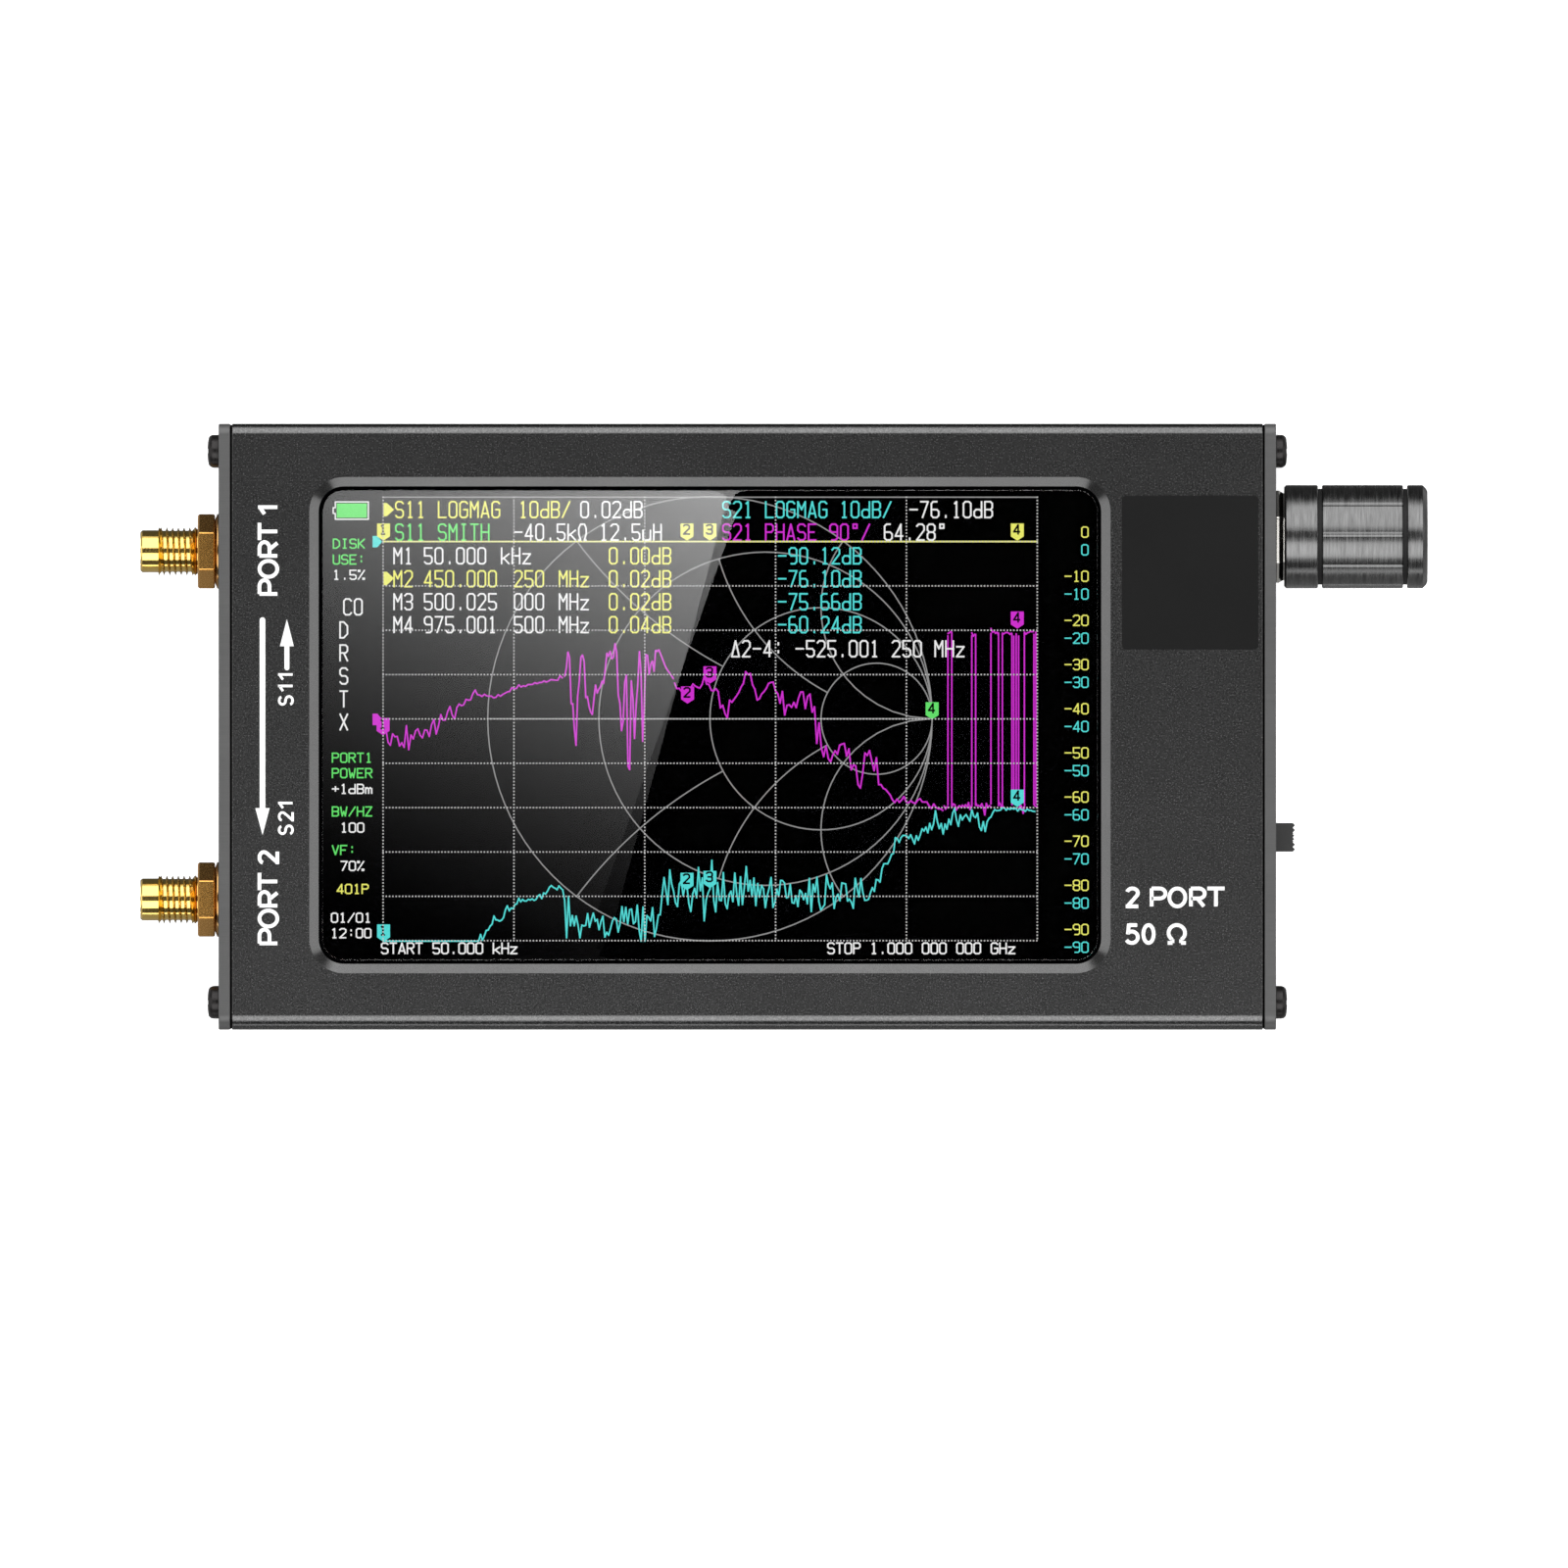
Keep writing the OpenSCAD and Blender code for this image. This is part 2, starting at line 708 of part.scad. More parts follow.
module encoder_rotor() {
    color([0.9, 0.9, 0.85]) knob_place() tube(rotor_r, shaft_r + seat_clr, rotor_at, rotor_t);
}

// Disc behind the rotor that carries the press to the dome
module encoder_plunger() {
    color([0.85, 0.85, 0.8]) knob_place() {
        translate([0, 0, plunger_at]) cylinder(r = rotor_r - 0.4, h = plunger_t);
        translate([0, 0, plunger_at - nib_len]) cylinder(r = 1.2, h = nib_len);
    }
}

module encoder_dome() {
    color(steel) knob_place() translate([0, 0, dome_at]) cylinder(r = 2.5, h = dome_t);
}

// Three pins on the front of the board and two on the back
module encoder_pins() {
    pin_w = 0.9;
    pin_t = 0.5;
    pin_len = 3;
    pitch = 2.5;
    color(steel) {
        for (i = [-1, 0, 1])
            block(end_x - encoder_depth - pin_len, knob_y + i * pitch, pcb_top, pin_len, pin_w, pin_t);
        for (i = [-1, 1])
            block(end_x - encoder_depth - pin_len, knob_y + i * pitch, pcb_bottom - pin_t, pin_len, pin_w, pin_t);
    }
}

// Turned knob: plain base, grooved grip and plain end, with two turned rings between them
module control_knob() {
    profile = [
        [0, knob_at], [knob_r - 0.2, knob_at], [knob_r, knob_at + 0.2],
        [knob_r, ring_1_at], [knob_r - ring_depth, ring_1_at], [knob_r - ring_depth, grip_at],
        [knob_r, grip_at], [knob_r, ring_2_at],
        [knob_r - ring_depth, ring_2_at], [knob_r - ring_depth, knob_end_at], [knob_r, knob_end_at],
        [knob_r, knob_top - knob_chamfer], [knob_r - knob_chamfer, knob_top], [0, knob_top]];
    color(dark_metal) knob_place() difference() {
        rotate_extrude() polygon(profile);
        translate([0, 0, knob_at - cut]) cylinder(r = counterbore_r, h = counterbore_top - knob_at + cut);
        translate([0, 0, knob_at]) cylinder(r = bushing_r + slide_clr, h = recess_top - knob_at);
        translate([0, 0, knob_at]) cylinder(r = shaft_r + seat_clr, h = shaft_len + 1 - knob_at);
        translate([0, 0, set_screw_at]) rotate([0, 90, 0])
            cylinder(r = set_screw_r + seat_clr, h = knob_r + cut);
        for (i = [0 : knob_grooves - 1]) rotate([0, 0, 180 + i * 360 / knob_grooves])
            translate([knob_r, 0, grip_at]) linear_extrude(height = knob_grip_len)
                polygon([[-groove_depth, 0], [groove_depth, -knob_groove_w], [groove_depth, knob_groove_w]]);
    }
}

// Grub screw with a hexagonal socket, from the flat of the shaft outward
module knob_set_screw() {
    color(steel) knob_place() translate([flat_at, 0, set_screw_at]) rotate([0, 90, 0]) difference() {
        cylinder(r = set_screw_r, h = set_screw_len);
        translate([0, 0, set_screw_len - 1.5]) cylinder(r = 0.75 / cos(30), h = 1.5 + cut, $fn = 6);
    }
}

// ---- Ports ----

// Square block with four board legs, the barrel and the mating socket in its nose
module port_jack(y) {
    chamfer = 0.25;
    color(gold) port_place(y) {
        difference() {
            union() {
                translate([-port_block_w / 2, -port_block_w / 2, -port_block_t])
                    cube([port_block_w, port_block_w, port_block_t]);
                cylinder(r = neck_r, h = thread_at + 0.1);
                translate([0, 0, thread_at]) cylinder(r = port_r, h = port_thread_len);
                translate([0, 0, nose_at - 0.1]) cylinder(r = port_nose_r, h = port_nose_len - chamfer + 0.1);
                translate([0, 0, port_len - chamfer])
                    cylinder(r1 = port_nose_r, r2 = port_nose_r - chamfer, h = chamfer);
            }
            translate([0, 0, -port_block_t - cut])
                cylinder(r = insulator_r + seat_clr, h = port_block_t + port_len + 2 * cut);
            translate([0, 0, port_len - mate_depth]) cylinder(r = socket_r, h = mate_depth + cut);
        }
        for (s = [-1, 1], x = [pcb_top - axis_z, pcb_bottom - axis_z - leg_w])
            translate([x, s * (port_block_w / 2 - leg_w / 2) - leg_w / 2, -port_block_t - leg_len])
                cube([leg_w, leg_w, leg_len + 0.1]);
    }
}

module port_insulator(y) {
    color([0.95, 0.95, 0.93]) port_place(y)
        tube(insulator_r, contact_r + seat_clr, -port_block_t, port_block_t + port_len - mate_depth);
}

// Centre contact with a mating bore in its outer end and a tail over the board
module port_contact(y) {
    contact_len = port_block_t + tail_len + port_len - mate_depth;
    bore_len = 3;
    color(gold) port_place(y) translate([0, 0, -port_block_t - tail_len]) difference() {
        cylinder(r = contact_r, h = contact_len, $fn = 32);
        translate([0, 0, contact_len - bore_len]) cylinder(r = socket_bore_r, h = bore_len + cut, $fn = 32);
    }
}

module port_nut(y) {
    color(gold) port_place(y)
        hex_nut(port_nut_af, port_nut_af * 0.565, neck_r + seat_clr, port_nut_at, port_nut_t);
}

// Dished lock washer, wider towards the plate
module port_washer(y) {
    color([0.25, 0.22, 0.18]) port_place(y) translate([0, 0, washer_at]) difference() {
        cylinder(r1 = port_nut_af * 0.575, r2 = port_nut_af * 0.5, h = washer_t);
        translate([0, 0, -cut]) cylinder(r = port_r + 0.05, h = washer_t + 2 * cut);
    }
}

case_extrusion();
left_end_plate();
right_end_plate();
left_plate_screws();
right_plate_screws();
front_label();
cover_glass();
display_gasket();
lcd_panel();
display_tray();
display_ribbon();
display_connector();
main_board();
rf_shield_frame();
rf_shield_lid();
processor_chip();
memory_chip();
small_chips();
charger_coil();
crystal_oscillator();
usb_socket_shell();
usb_socket_tongue();
battery_connector();
battery_plug();
battery_leads();
battery_cell();
battery_tape();
power_switch_frame();
power_switch_base();
power_switch_slider();
encoder_case();
encoder_bushing();
encoder_nut();
encoder_shaft();
encoder_rotor();
encoder_plunger();
encoder_dome();
encoder_pins();
control_knob();
knob_set_screw();
port_jack(port_1_y);  // port_1_jack
port_insulator(port_1_y);  // port_1_insulator
port_contact(port_1_y);  // port_1_contact
port_nut(port_1_y);  // port_1_nut
port_washer(port_1_y);  // port_1_washer
port_jack(port_2_y);  // port_2_jack
port_insulator(port_2_y);  // port_2_insulator
port_contact(port_2_y);  // port_2_contact
port_nut(port_2_y);  // port_2_nut
port_washer(port_2_y);  // port_2_washer
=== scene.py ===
"""Handheld two-port network analyzer: every visible part in fine detail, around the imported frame.

Lengths inside the classes are millimetres. A mesh becomes metres when it is made.
The object lies on its back: x runs from the ports to the knob, y to the top edge, z to the front.
"""

import sys
import json
import logging
import math
from collections.abc import Callable, Sequence
from dataclasses import dataclass, field
from enum import Enum

import bmesh
import bpy
import numpy as np
from mathutils import Matrix, Vector
from mathutils.geometry import tessellate_polygon

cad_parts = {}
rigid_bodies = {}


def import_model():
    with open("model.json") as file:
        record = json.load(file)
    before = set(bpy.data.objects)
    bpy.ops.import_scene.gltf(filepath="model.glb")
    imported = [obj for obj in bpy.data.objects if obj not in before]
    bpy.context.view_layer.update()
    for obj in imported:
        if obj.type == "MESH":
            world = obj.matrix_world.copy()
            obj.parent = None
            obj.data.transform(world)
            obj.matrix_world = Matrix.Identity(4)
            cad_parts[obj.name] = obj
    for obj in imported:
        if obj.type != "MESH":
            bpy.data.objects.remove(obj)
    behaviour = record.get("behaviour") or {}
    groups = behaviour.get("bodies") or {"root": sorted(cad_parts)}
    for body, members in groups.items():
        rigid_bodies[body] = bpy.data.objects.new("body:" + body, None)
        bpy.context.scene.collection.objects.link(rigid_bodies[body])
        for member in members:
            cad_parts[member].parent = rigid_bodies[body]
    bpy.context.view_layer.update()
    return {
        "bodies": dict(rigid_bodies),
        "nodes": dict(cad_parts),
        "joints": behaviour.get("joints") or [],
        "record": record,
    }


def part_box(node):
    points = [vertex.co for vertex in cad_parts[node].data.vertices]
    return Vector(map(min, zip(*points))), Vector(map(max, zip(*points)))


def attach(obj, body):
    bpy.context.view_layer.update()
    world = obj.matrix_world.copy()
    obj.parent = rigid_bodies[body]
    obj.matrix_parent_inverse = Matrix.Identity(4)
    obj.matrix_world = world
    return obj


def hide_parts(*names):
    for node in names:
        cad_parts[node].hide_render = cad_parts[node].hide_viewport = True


LOG = logging.getLogger("analyzer")
MM = 0.001
SEED = 11
Array = np.ndarray
Colour = tuple[float, float, float]


def tone(red: float, green: float | None = None, blue: float | None = None) -> Colour:
    """Linear colour of a display shade.

    Args:
        red, green, blue: shade from 0 to 255; one number alone gives a grey.

    Returns:
        Three linear values, each ((s + 0.055) / 1.055) ** 2.4 for s = shade / 255.
    """
    shade = np.array([red, red if green is None else green, red if blue is None else blue]) / 255
    linear = np.where(shade <= 0.04045, shade / 12.92, ((shade + 0.055) / 1.055) ** 2.4)
    return tuple(float(v) for v in linear)


# ---------------------------------------------------------------- finishes


def ramp(tree: bpy.types.NodeTree, source: object, start: tuple[float, float],
         stop: tuple[float, float]) -> object:
    """Adds a node that maps one range onto another, held at both ends.

    Args:
        tree: where it is added.
        source: the socket that is mapped.
        start: the range of the source.
        stop: what the two ends of that range become.

    Returns:
        The socket of the result.
    """
    node = tree.nodes.new("ShaderNodeMapRange")
    for socket, value in zip(("From Min", "From Max", "To Min", "To Max"), (*start, *stop)):
        node.inputs[socket].default_value = value
    tree.links.new(source, node.inputs["Value"])
    return node.outputs["Result"]


def combine(tree: bpy.types.NodeTree, operation: str, *inputs: object) -> object:
    """Adds a math node.

    Args:
        tree: where it is added.
        operation: what it does.
        inputs: sockets that are linked in, or numbers that are set.

    Returns:
        The socket of the result.
    """
    node = tree.nodes.new("ShaderNodeMath")
    node.operation = operation
    for socket, value in zip(node.inputs, inputs):
        if isinstance(value, float):
            socket.default_value = value
        else:
            tree.links.new(value, socket)
    return node.outputs[0]


class Pattern(Enum):
    """How a finish varies: the stretch of its marks along x, y and z."""

    GRAIN = (1.0, 1.0, 1.0)
    DRAWN = (0.03, 1.0, 1.0)
    TURNED = (1.0, 0.06, 0.0601)
    MOULDED = (1.0, 1.0, 0.999)
    CELLS = (1.0, 1.0, 1.001)
    TRACKS = (1.0, 1.0, 1.002)
    RIBS = (1.0, 0.0, 0.0)


@dataclass(frozen=True)
class Finish:
    """A procedural surface: constant shader values, and marks that vary colour, gloss and height."""

    name: str
    colour: Colour
    metallic: float = 0.0
    roughness: float = 0.5
    pattern: Pattern = Pattern.GRAIN
    mark: float = 0.25
    tint: float = 0.12
    gloss: float = 0.08
    relief: float = 0.004
    specular: float = 0.5
    coat: float = 0.0
    coat_roughness: float = 0.1
    transmission: float = 0.0
    ior: float = 1.5
    glow: Colour | None = None
    blotch: float = 0.06
    contrast: tuple[float, float] = (0.3, 0.7)
    blotch_size: float = 14.0

    def _marks(self, tree: bpy.types.NodeTree) -> tuple[object, object]:
        """Adds the texture nodes.

        Args:
            tree: where they are added.

        Returns:
            The sockets of the fine marks and of the broad blotches, both from 0 to 1.
        """
        nodes, links = tree.nodes, tree.links
        where = nodes.new("ShaderNodeTexCoord").outputs["Object"]
        placed = nodes.new("ShaderNodeMapping")
        placed.vector_type = "POINT"
        placed.inputs["Scale"].default_value = [s / (self.mark * MM) for s in self.pattern.value]
        links.new(where, placed.inputs["Vector"])
        if self.pattern is Pattern.CELLS:
            fine = nodes.new("ShaderNodeTexVoronoi")
            fine.inputs["Scale"].default_value = 1.0
            out = fine.outputs["Distance"]
        elif self.pattern is Pattern.TRACKS:
            fine = nodes.new("ShaderNodeTexBrick")
            fine.inputs["Scale"].default_value = 0.25
            fine.inputs["Mortar Size"].default_value = 0.03
            fine.inputs["Color1"].default_value = (0.35, 0.35, 0.35, 1)
            fine.inputs["Color2"].default_value = (0.5, 0.5, 0.5, 1)
            fine.inputs["Mortar"].default_value = (1, 1, 1, 1)
            out = fine.outputs["Color"]
        elif self.pattern is Pattern.RIBS:
            fine = nodes.new("ShaderNodeTexWave")
            fine.inputs["Scale"].default_value = 0.3
            fine.inputs["Distortion"].default_value = 0.4
            out = fine.outputs["Fac"]
        else:
            fine = nodes.new("ShaderNodeTexNoise")
            fine.inputs["Scale"].default_value = 1.0
            fine.inputs["Detail"].default_value = 3.0
            fine.inputs["Roughness"].default_value = 0.6
            out = fine.outputs["Fac"]
        links.new(placed.outputs["Vector"], fine.inputs["Vector"])
        broad = nodes.new("ShaderNodeTexNoise")
        broad.inputs["Scale"].default_value = 1 / (self.blotch_size * MM)
        broad.inputs["Detail"].default_value = 2.0
        links.new(where, broad.inputs["Vector"])
        return out, broad.outputs["Fac"]

    def _shaded(self, tree: bpy.types.NodeTree, colour: Colour, fine: object, broad: object) -> object:
        """Mixes a darker and a lighter version of a colour by the marks, then by the blotches.

        Args:
            tree: where the nodes are added.
            colour: the colour.
            fine: the socket of the marks.
            broad: the socket of the blotches.

        Returns:
            The colour socket.
        """
        socket = None
        for swing, source in ((self.tint, fine), (self.blotch, broad)):
            mix = tree.nodes.new("ShaderNodeMix")
            mix.data_type = "RGBA"
            mix.blend_type = "MIX" if socket is None else "MULTIPLY"
            factor, first, second, result = mix.inputs[0], mix.inputs[6], mix.inputs[7], mix.outputs[2]
            tree.links.new(ramp(tree, source, self.contrast, (0, 1)), factor)
            if socket is None:
                first.default_value = [*(c * (1 - swing) for c in colour), 1]
                second.default_value = [*(min(1.0, c * (1 + swing)) for c in colour), 1]
            else:
                tree.links.new(socket, first)
                second.default_value = [1 - 2 * swing] * 3 + [1]
            socket = result
        return socket

    def material(self) -> bpy.types.Material:
        """Makes the material once; later calls share it.

        Returns:
            The material.
        """
        found = bpy.data.materials.get(self.name)
        if found:
            return found
        made = bpy.data.materials.new(self.name)
        made.use_nodes = True
        tree = made.node_tree
        shader = tree.nodes["Principled BSDF"]
        constants = {
            "Metallic": self.metallic, "Specular IOR Level": self.specular, "IOR": self.ior,
            "Coat Weight": self.coat, "Coat Roughness": self.coat_roughness,
            "Transmission Weight": self.transmission,
        }
        for socket, value in constants.items():
            shader.inputs[socket].default_value = value
        fine, broad = self._marks(tree)
        if self.glow is not None:
            shader.inputs["Base Color"].default_value = [*self.colour, 1]
            tree.links.new(self._shaded(tree, self.glow, fine, broad), shader.inputs["Emission Color"])
            shader.inputs["Emission Strength"].default_value = 1.0
        else:
            tree.links.new(self._shaded(tree, self.colour, fine, broad), shader.inputs["Base Color"])
        shader.inputs["Roughness"].default_value = self.roughness
        if self.gloss > 0:
            limits = (max(0.0, self.roughness - self.gloss), self.roughness + self.gloss)
            tree.links.new(ramp(tree, fine, self.contrast, limits), shader.inputs["Roughness"])
        if self.relief > 0:
            bump = tree.nodes.new("ShaderNodeBump")
            bump.inputs["Distance"].default_value = self.relief * MM
            bump.inputs["Strength"].default_value = 1.0
            tree.links.new(fine, bump.inputs["Height"])
            tree.links.new(bump.outputs["Normal"], shader.inputs["Normal"])
        return made


ANODISED = Finish("anodised_grey", tone(94), 1.0, 0.24, Pattern.GRAIN, 0.2, 0.4, 0.05, 0.006)
MILLED_EDGE = Finish("milled_edge", tone(86), 0.4, 0.42, Pattern.DRAWN, 0.12, 0.06, 0.05, 0.001)
WINDOW_EDGE = Finish("window_edge", tone(112), 1.0, 0.25, Pattern.GRAIN, 0.3, 0.05, 0.02, 0.0005)
SCREW_BLACK = Finish("blackened_screw", tone(42, 40, 40), 0.7, 0.32, Pattern.TURNED, 0.15, 0.2, 0.1, 0.002)
LABEL_FILM = Finish("satin_film", tone(27), 0.0, 0.55, Pattern.GRAIN, 0.1, 0.08, 0.05, 0.002, 0.05)
WHITE_INK = Finish("panel_ink", tone(250), 0.0, 0.5, Pattern.GRAIN, 0.08, 0.02, 0.06, 0.001, 0.3)
GLASS = Finish("cover_glass_clear", tone(252), 0.0, 0.0, Pattern.GRAIN, 9.0, 0.01, 0.0, 0.0,
               transmission=1.0, ior=1.5, blotch=0.0)
DISPLAY_BLACK = Finish("display_black", tone(4, 4, 5), 0.0, 0.5, Pattern.GRAIN, 0.12, 0.3, 0.03, 0.0, 0.0)
GOLD = Finish("gold_turned", tone(236, 202, 114), 1.0, 0.13, Pattern.TURNED, 0.06, 0.06, 0.05, 0.0008)
GOLD_NUT = Finish("gold_nut", tone(214, 160, 84), 1.0, 0.24, Pattern.GRAIN, 0.1, 0.06, 0.06, 0.001)
DARK_SPRING = Finish("dull_spring", tone(190, 150, 96), 1.0, 0.2, Pattern.GRAIN, 0.12, 0.1, 0.05, 0.001)
PTFE = Finish("white_ptfe", tone(238, 238, 232), 0.0, 0.45, Pattern.TURNED, 0.08, 0.02, 0.05, 0.001)
KNOB_METAL = Finish("knob_turned", tone(102), 1.0, 0.25, Pattern.TURNED, 0.2, 0.32, 0.07, 0.002)
JOINT_SHADOW = Finish("joint_shadow", tone(4), 0.0, 1.0, Pattern.GRAIN, 0.5, 0.02, 0.0, 0.0, 0.0)
# Near-black finish for the walls and floors of the knob's two ring grooves: painted shade, standing in for
# the shadow in these recesses.
KNOB_GROOVE_SHADE = Finish("knob_groove_painted_shade", tone(22), 0.0, 0.6, Pattern.TURNED, 0.08, 0.1, 0.08, 0.001, 0.3)
NICKEL = Finish("bright_nickel", tone(205, 203, 198), 1.0, 0.2, Pattern.GRAIN, 0.12, 0.04, 0.05, 0.001)
STEEL = Finish("plain_steel", tone(170, 170, 172), 1.0, 0.35, Pattern.DRAWN, 0.1, 0.08, 0.08, 0.001)
TINNED = Finish("tinned_sheet", tone(186, 188, 190), 1.0, 0.3, Pattern.GRAIN, 0.5, 0.08, 0.1, 0.002)
LEVER_BLACK = Finish("lever_black", tone(52), 0.0, 0.45, Pattern.MOULDED, 0.12, 0.1, 0.08, 0.003, 0.4)
DARK_NYLON = Finish("dark_nylon", tone(38, 38, 40), 0.0, 0.5, Pattern.MOULDED, 0.2, 0.1, 0.08, 0.003)
PALE_NYLON = Finish("pale_nylon", tone(226, 218, 196), 0.0, 0.45, Pattern.MOULDED, 0.3, 0.05, 0.08, 0.003)
BOARD = Finish("green_board", tone(22, 84, 46), 0.0, 0.4, Pattern.TRACKS, 1.1, 0.35, 0.08, 0.01, coat=0.3)
EPOXY = Finish("black_epoxy", tone(30, 30, 32), 0.0, 0.5, Pattern.GRAIN, 0.1, 0.15, 0.06, 0.002)
FERRITE = Finish("grey_ferrite", tone(58, 58, 62), 0.1, 0.6, Pattern.CELLS, 0.25, 0.2, 0.08, 0.004)
PHENOLIC = Finish("brown_phenolic", tone(120, 74, 40), 0.0, 0.5, Pattern.DRAWN, 0.2, 0.2, 0.08, 0.003)
FOAM = Finish("black_foam", tone(24), 0.0, 0.9, Pattern.CELLS, 0.18, 0.3, 0.04, 0.02, 0.2)
POUCH = Finish("foil_pouch", tone(176, 178, 182), 0.7, 0.4, Pattern.CELLS, 0.9, 0.06, 0.08, 0.01)
TAPE = Finish("adhesive_tape", tone(232, 228, 214), 0.0, 0.6, Pattern.DRAWN, 0.4, 0.06, 0.08, 0.003)
WIRE = Finish("lead_insulation", tone(176, 26, 24), 0.0, 0.4, Pattern.GRAIN, 0.3, 0.08, 0.06, 0.001)
FLEX = Finish("amber_film", tone(190, 110, 36), 0.0, 0.35, Pattern.RIBS, 0.25, 0.2, 0.06, 0.004)
PANEL_STACK = Finish("display_stack", tone(34, 38, 44), 0.0, 0.3, Pattern.GRAIN, 0.3, 0.1, 0.05, 0.001)
FLOOR = Finish("pale_floor", tone(232), 0.0, 0.8, Pattern.GRAIN, 3.0, 0.02, 0.05, 0.0, 0.2, glow=tone(225),
               blotch=0.01)
BLACK_CLOTH = Finish("black_cloth", tone(2), 0.0, 1.0, Pattern.GRAIN, 2.0, 0.1, 0.0, 0.0, 0.0)


# ---------------------------------------------------------------- shapes


class Facing(Enum):
    """Which way a part's own axes point: u and v across it, w along it."""

    FRONT = ((1, 0, 0), (0, 1, 0), (0, 0, 1))
    BACK = ((0, 1, 0), (1, 0, 0), (0, 0, -1))
    RIGHT = ((0, 1, 0), (0, 0, 1), (1, 0, 0))
    LEFT = ((0, 0, 1), (0, 1, 0), (-1, 0, 0))


@dataclass(frozen=True)
class Place:
    """Where a part stands and which way it faces."""

    origin: tuple[float, float, float] = (0.0, 0.0, 0.0)
    facing: Facing = Facing.FRONT

    def put(self, points: Array) -> Array:
        """Returns points given as u, v, w in the object's axes: origin + u U + v V + w W."""
        return np.asarray(self.origin, float) + points @ np.asarray(self.facing.value, float)


AT_ORIGIN = Place()
ALONG_X = Place((0.0, 0.0, 0.0), Facing.RIGHT)


def span(*names: str) -> tuple[Array, Array]:
    """Finds the box of some CAD nodes together.

    Args:
        names: the nodes.

    Returns:
        Its lowest and its highest corner, in millimetres.
    """
    boxes = [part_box(name) for name in names]
    low = np.min([np.array(b[0]) for b in boxes], axis=0)
    high = np.max([np.array(b[1]) for b in boxes], axis=0)
    return low / MM, high / MM


def arc(centre: tuple[float, float], radius: float, start: float, stop: float, steps: int = 24) -> Array:
    """Returns points on centre + radius (cos a, sin a), for a from start to stop degrees."""
    angle = np.radians(np.linspace(start, stop, steps))
    return np.stack([centre[0] + radius * np.cos(angle), centre[1] + radius * np.sin(angle)], -1)


def circle(centre: tuple[float, float], radius: float, steps: int = 48) -> Array:
    """Returns a circle as a loop that runs anticlockwise and doesn't repeat its first point."""
    return arc(centre, radius, 0, 360, steps + 1)[:-1]


def round_rect(centre: tuple[float, float], width: float, height: float, radius: float,
               steps: int = 8) -> Array:
    """Draws a rectangle whose corners are quarter circles.

    Args:
        centre: its middle.
        width, height: its outside.
        radius: of the corners.
        steps: points on each corner.

    Returns:
        The loop, anticlockwise.
    """
    x, y = width / 2 - radius, height / 2 - radius
    corners = ((x, y, 0), (-x, y, 90), (-x, -y, 180), (x, -y, 270))
    return np.concatenate([arc((centre[0] + u, centre[1] + v), radius, a, a + 90, steps)
                           for u, v, a in corners])


def inset(loop: Array, amount: float) -> Array:
    """Moves a loop to its left: each point goes along the mitre (n1 + n2) / (1 + n1.n2).

    Args:
        loop: the points; n1 and n2 are the left normals of the two sides that meet in a point.
        amount: how far each side moves.

    Returns:
        The moved loop.
    """
    ahead = np.roll(loop, -1, 0) - loop
    ahead /= np.linalg.norm(ahead, axis=1, keepdims=True)
    behind = np.roll(ahead, 1, 0)
    n1, n2 = (np.stack([-t[:, 1], t[:, 0]], -1) for t in (behind, ahead))
    along = 1 + np.sum(n1 * n2, 1, keepdims=True)
    return loop + amount * (n1 + n2) / np.maximum(along, 0.3)


def edge_levels(low: float, high: float, edge: float, steps: int = 3) -> list[tuple[float, float]]:
    """Lists the levels of a wall with a quarter round at both ends.

    Args:
        low, high: where the wall starts and ends.
        edge: radius of the rounds.
        steps: levels in each round.

    Returns:
        (inset, height) pairs, rising.
    """
    turn = np.radians(np.linspace(0, 90, steps + 1))
    rise = np.stack([edge * (1 - np.sin(turn)), low + edge * (1 - np.cos(turn))], -1)
    fall = np.stack([rise[::-1, 0], high - (rise[::-1, 1] - low)], -1)
    return [tuple(pair) for pair in np.concatenate([rise, fall])]


def soften(profile: Sequence[tuple[float, float]], size: float, closed: bool = True) -> Array:
    """Rounds a profile's corners: each becomes p + s a, p + s (a + b) / 4 and p + s b.

    Args:
        profile: corner points; a and b are the unit steps from a corner to its two neighbours.
        size: how far s reaches along both sides, held to a third of the shorter one.
        closed: whether the last point joins the first; an open profile keeps its ends.

    Returns:
        The points of the rounded profile.
    """
    p = np.asarray(profile, float)
    back, ahead = np.roll(p, 1, 0) - p, np.roll(p, -1, 0) - p
    lb, la = (np.linalg.norm(v, axis=1, keepdims=True) for v in (back, ahead))
    s = np.minimum(size, np.minimum(lb, la) / 3)
    a, b = back / lb * s, ahead / la * s
    rounded = np.stack([p + a, p + (a + b) / 4, p + b], 1)
    if not closed:
        rounded[0], rounded[-1] = p[0], p[-1]
    return rounded.reshape(-1, 2)


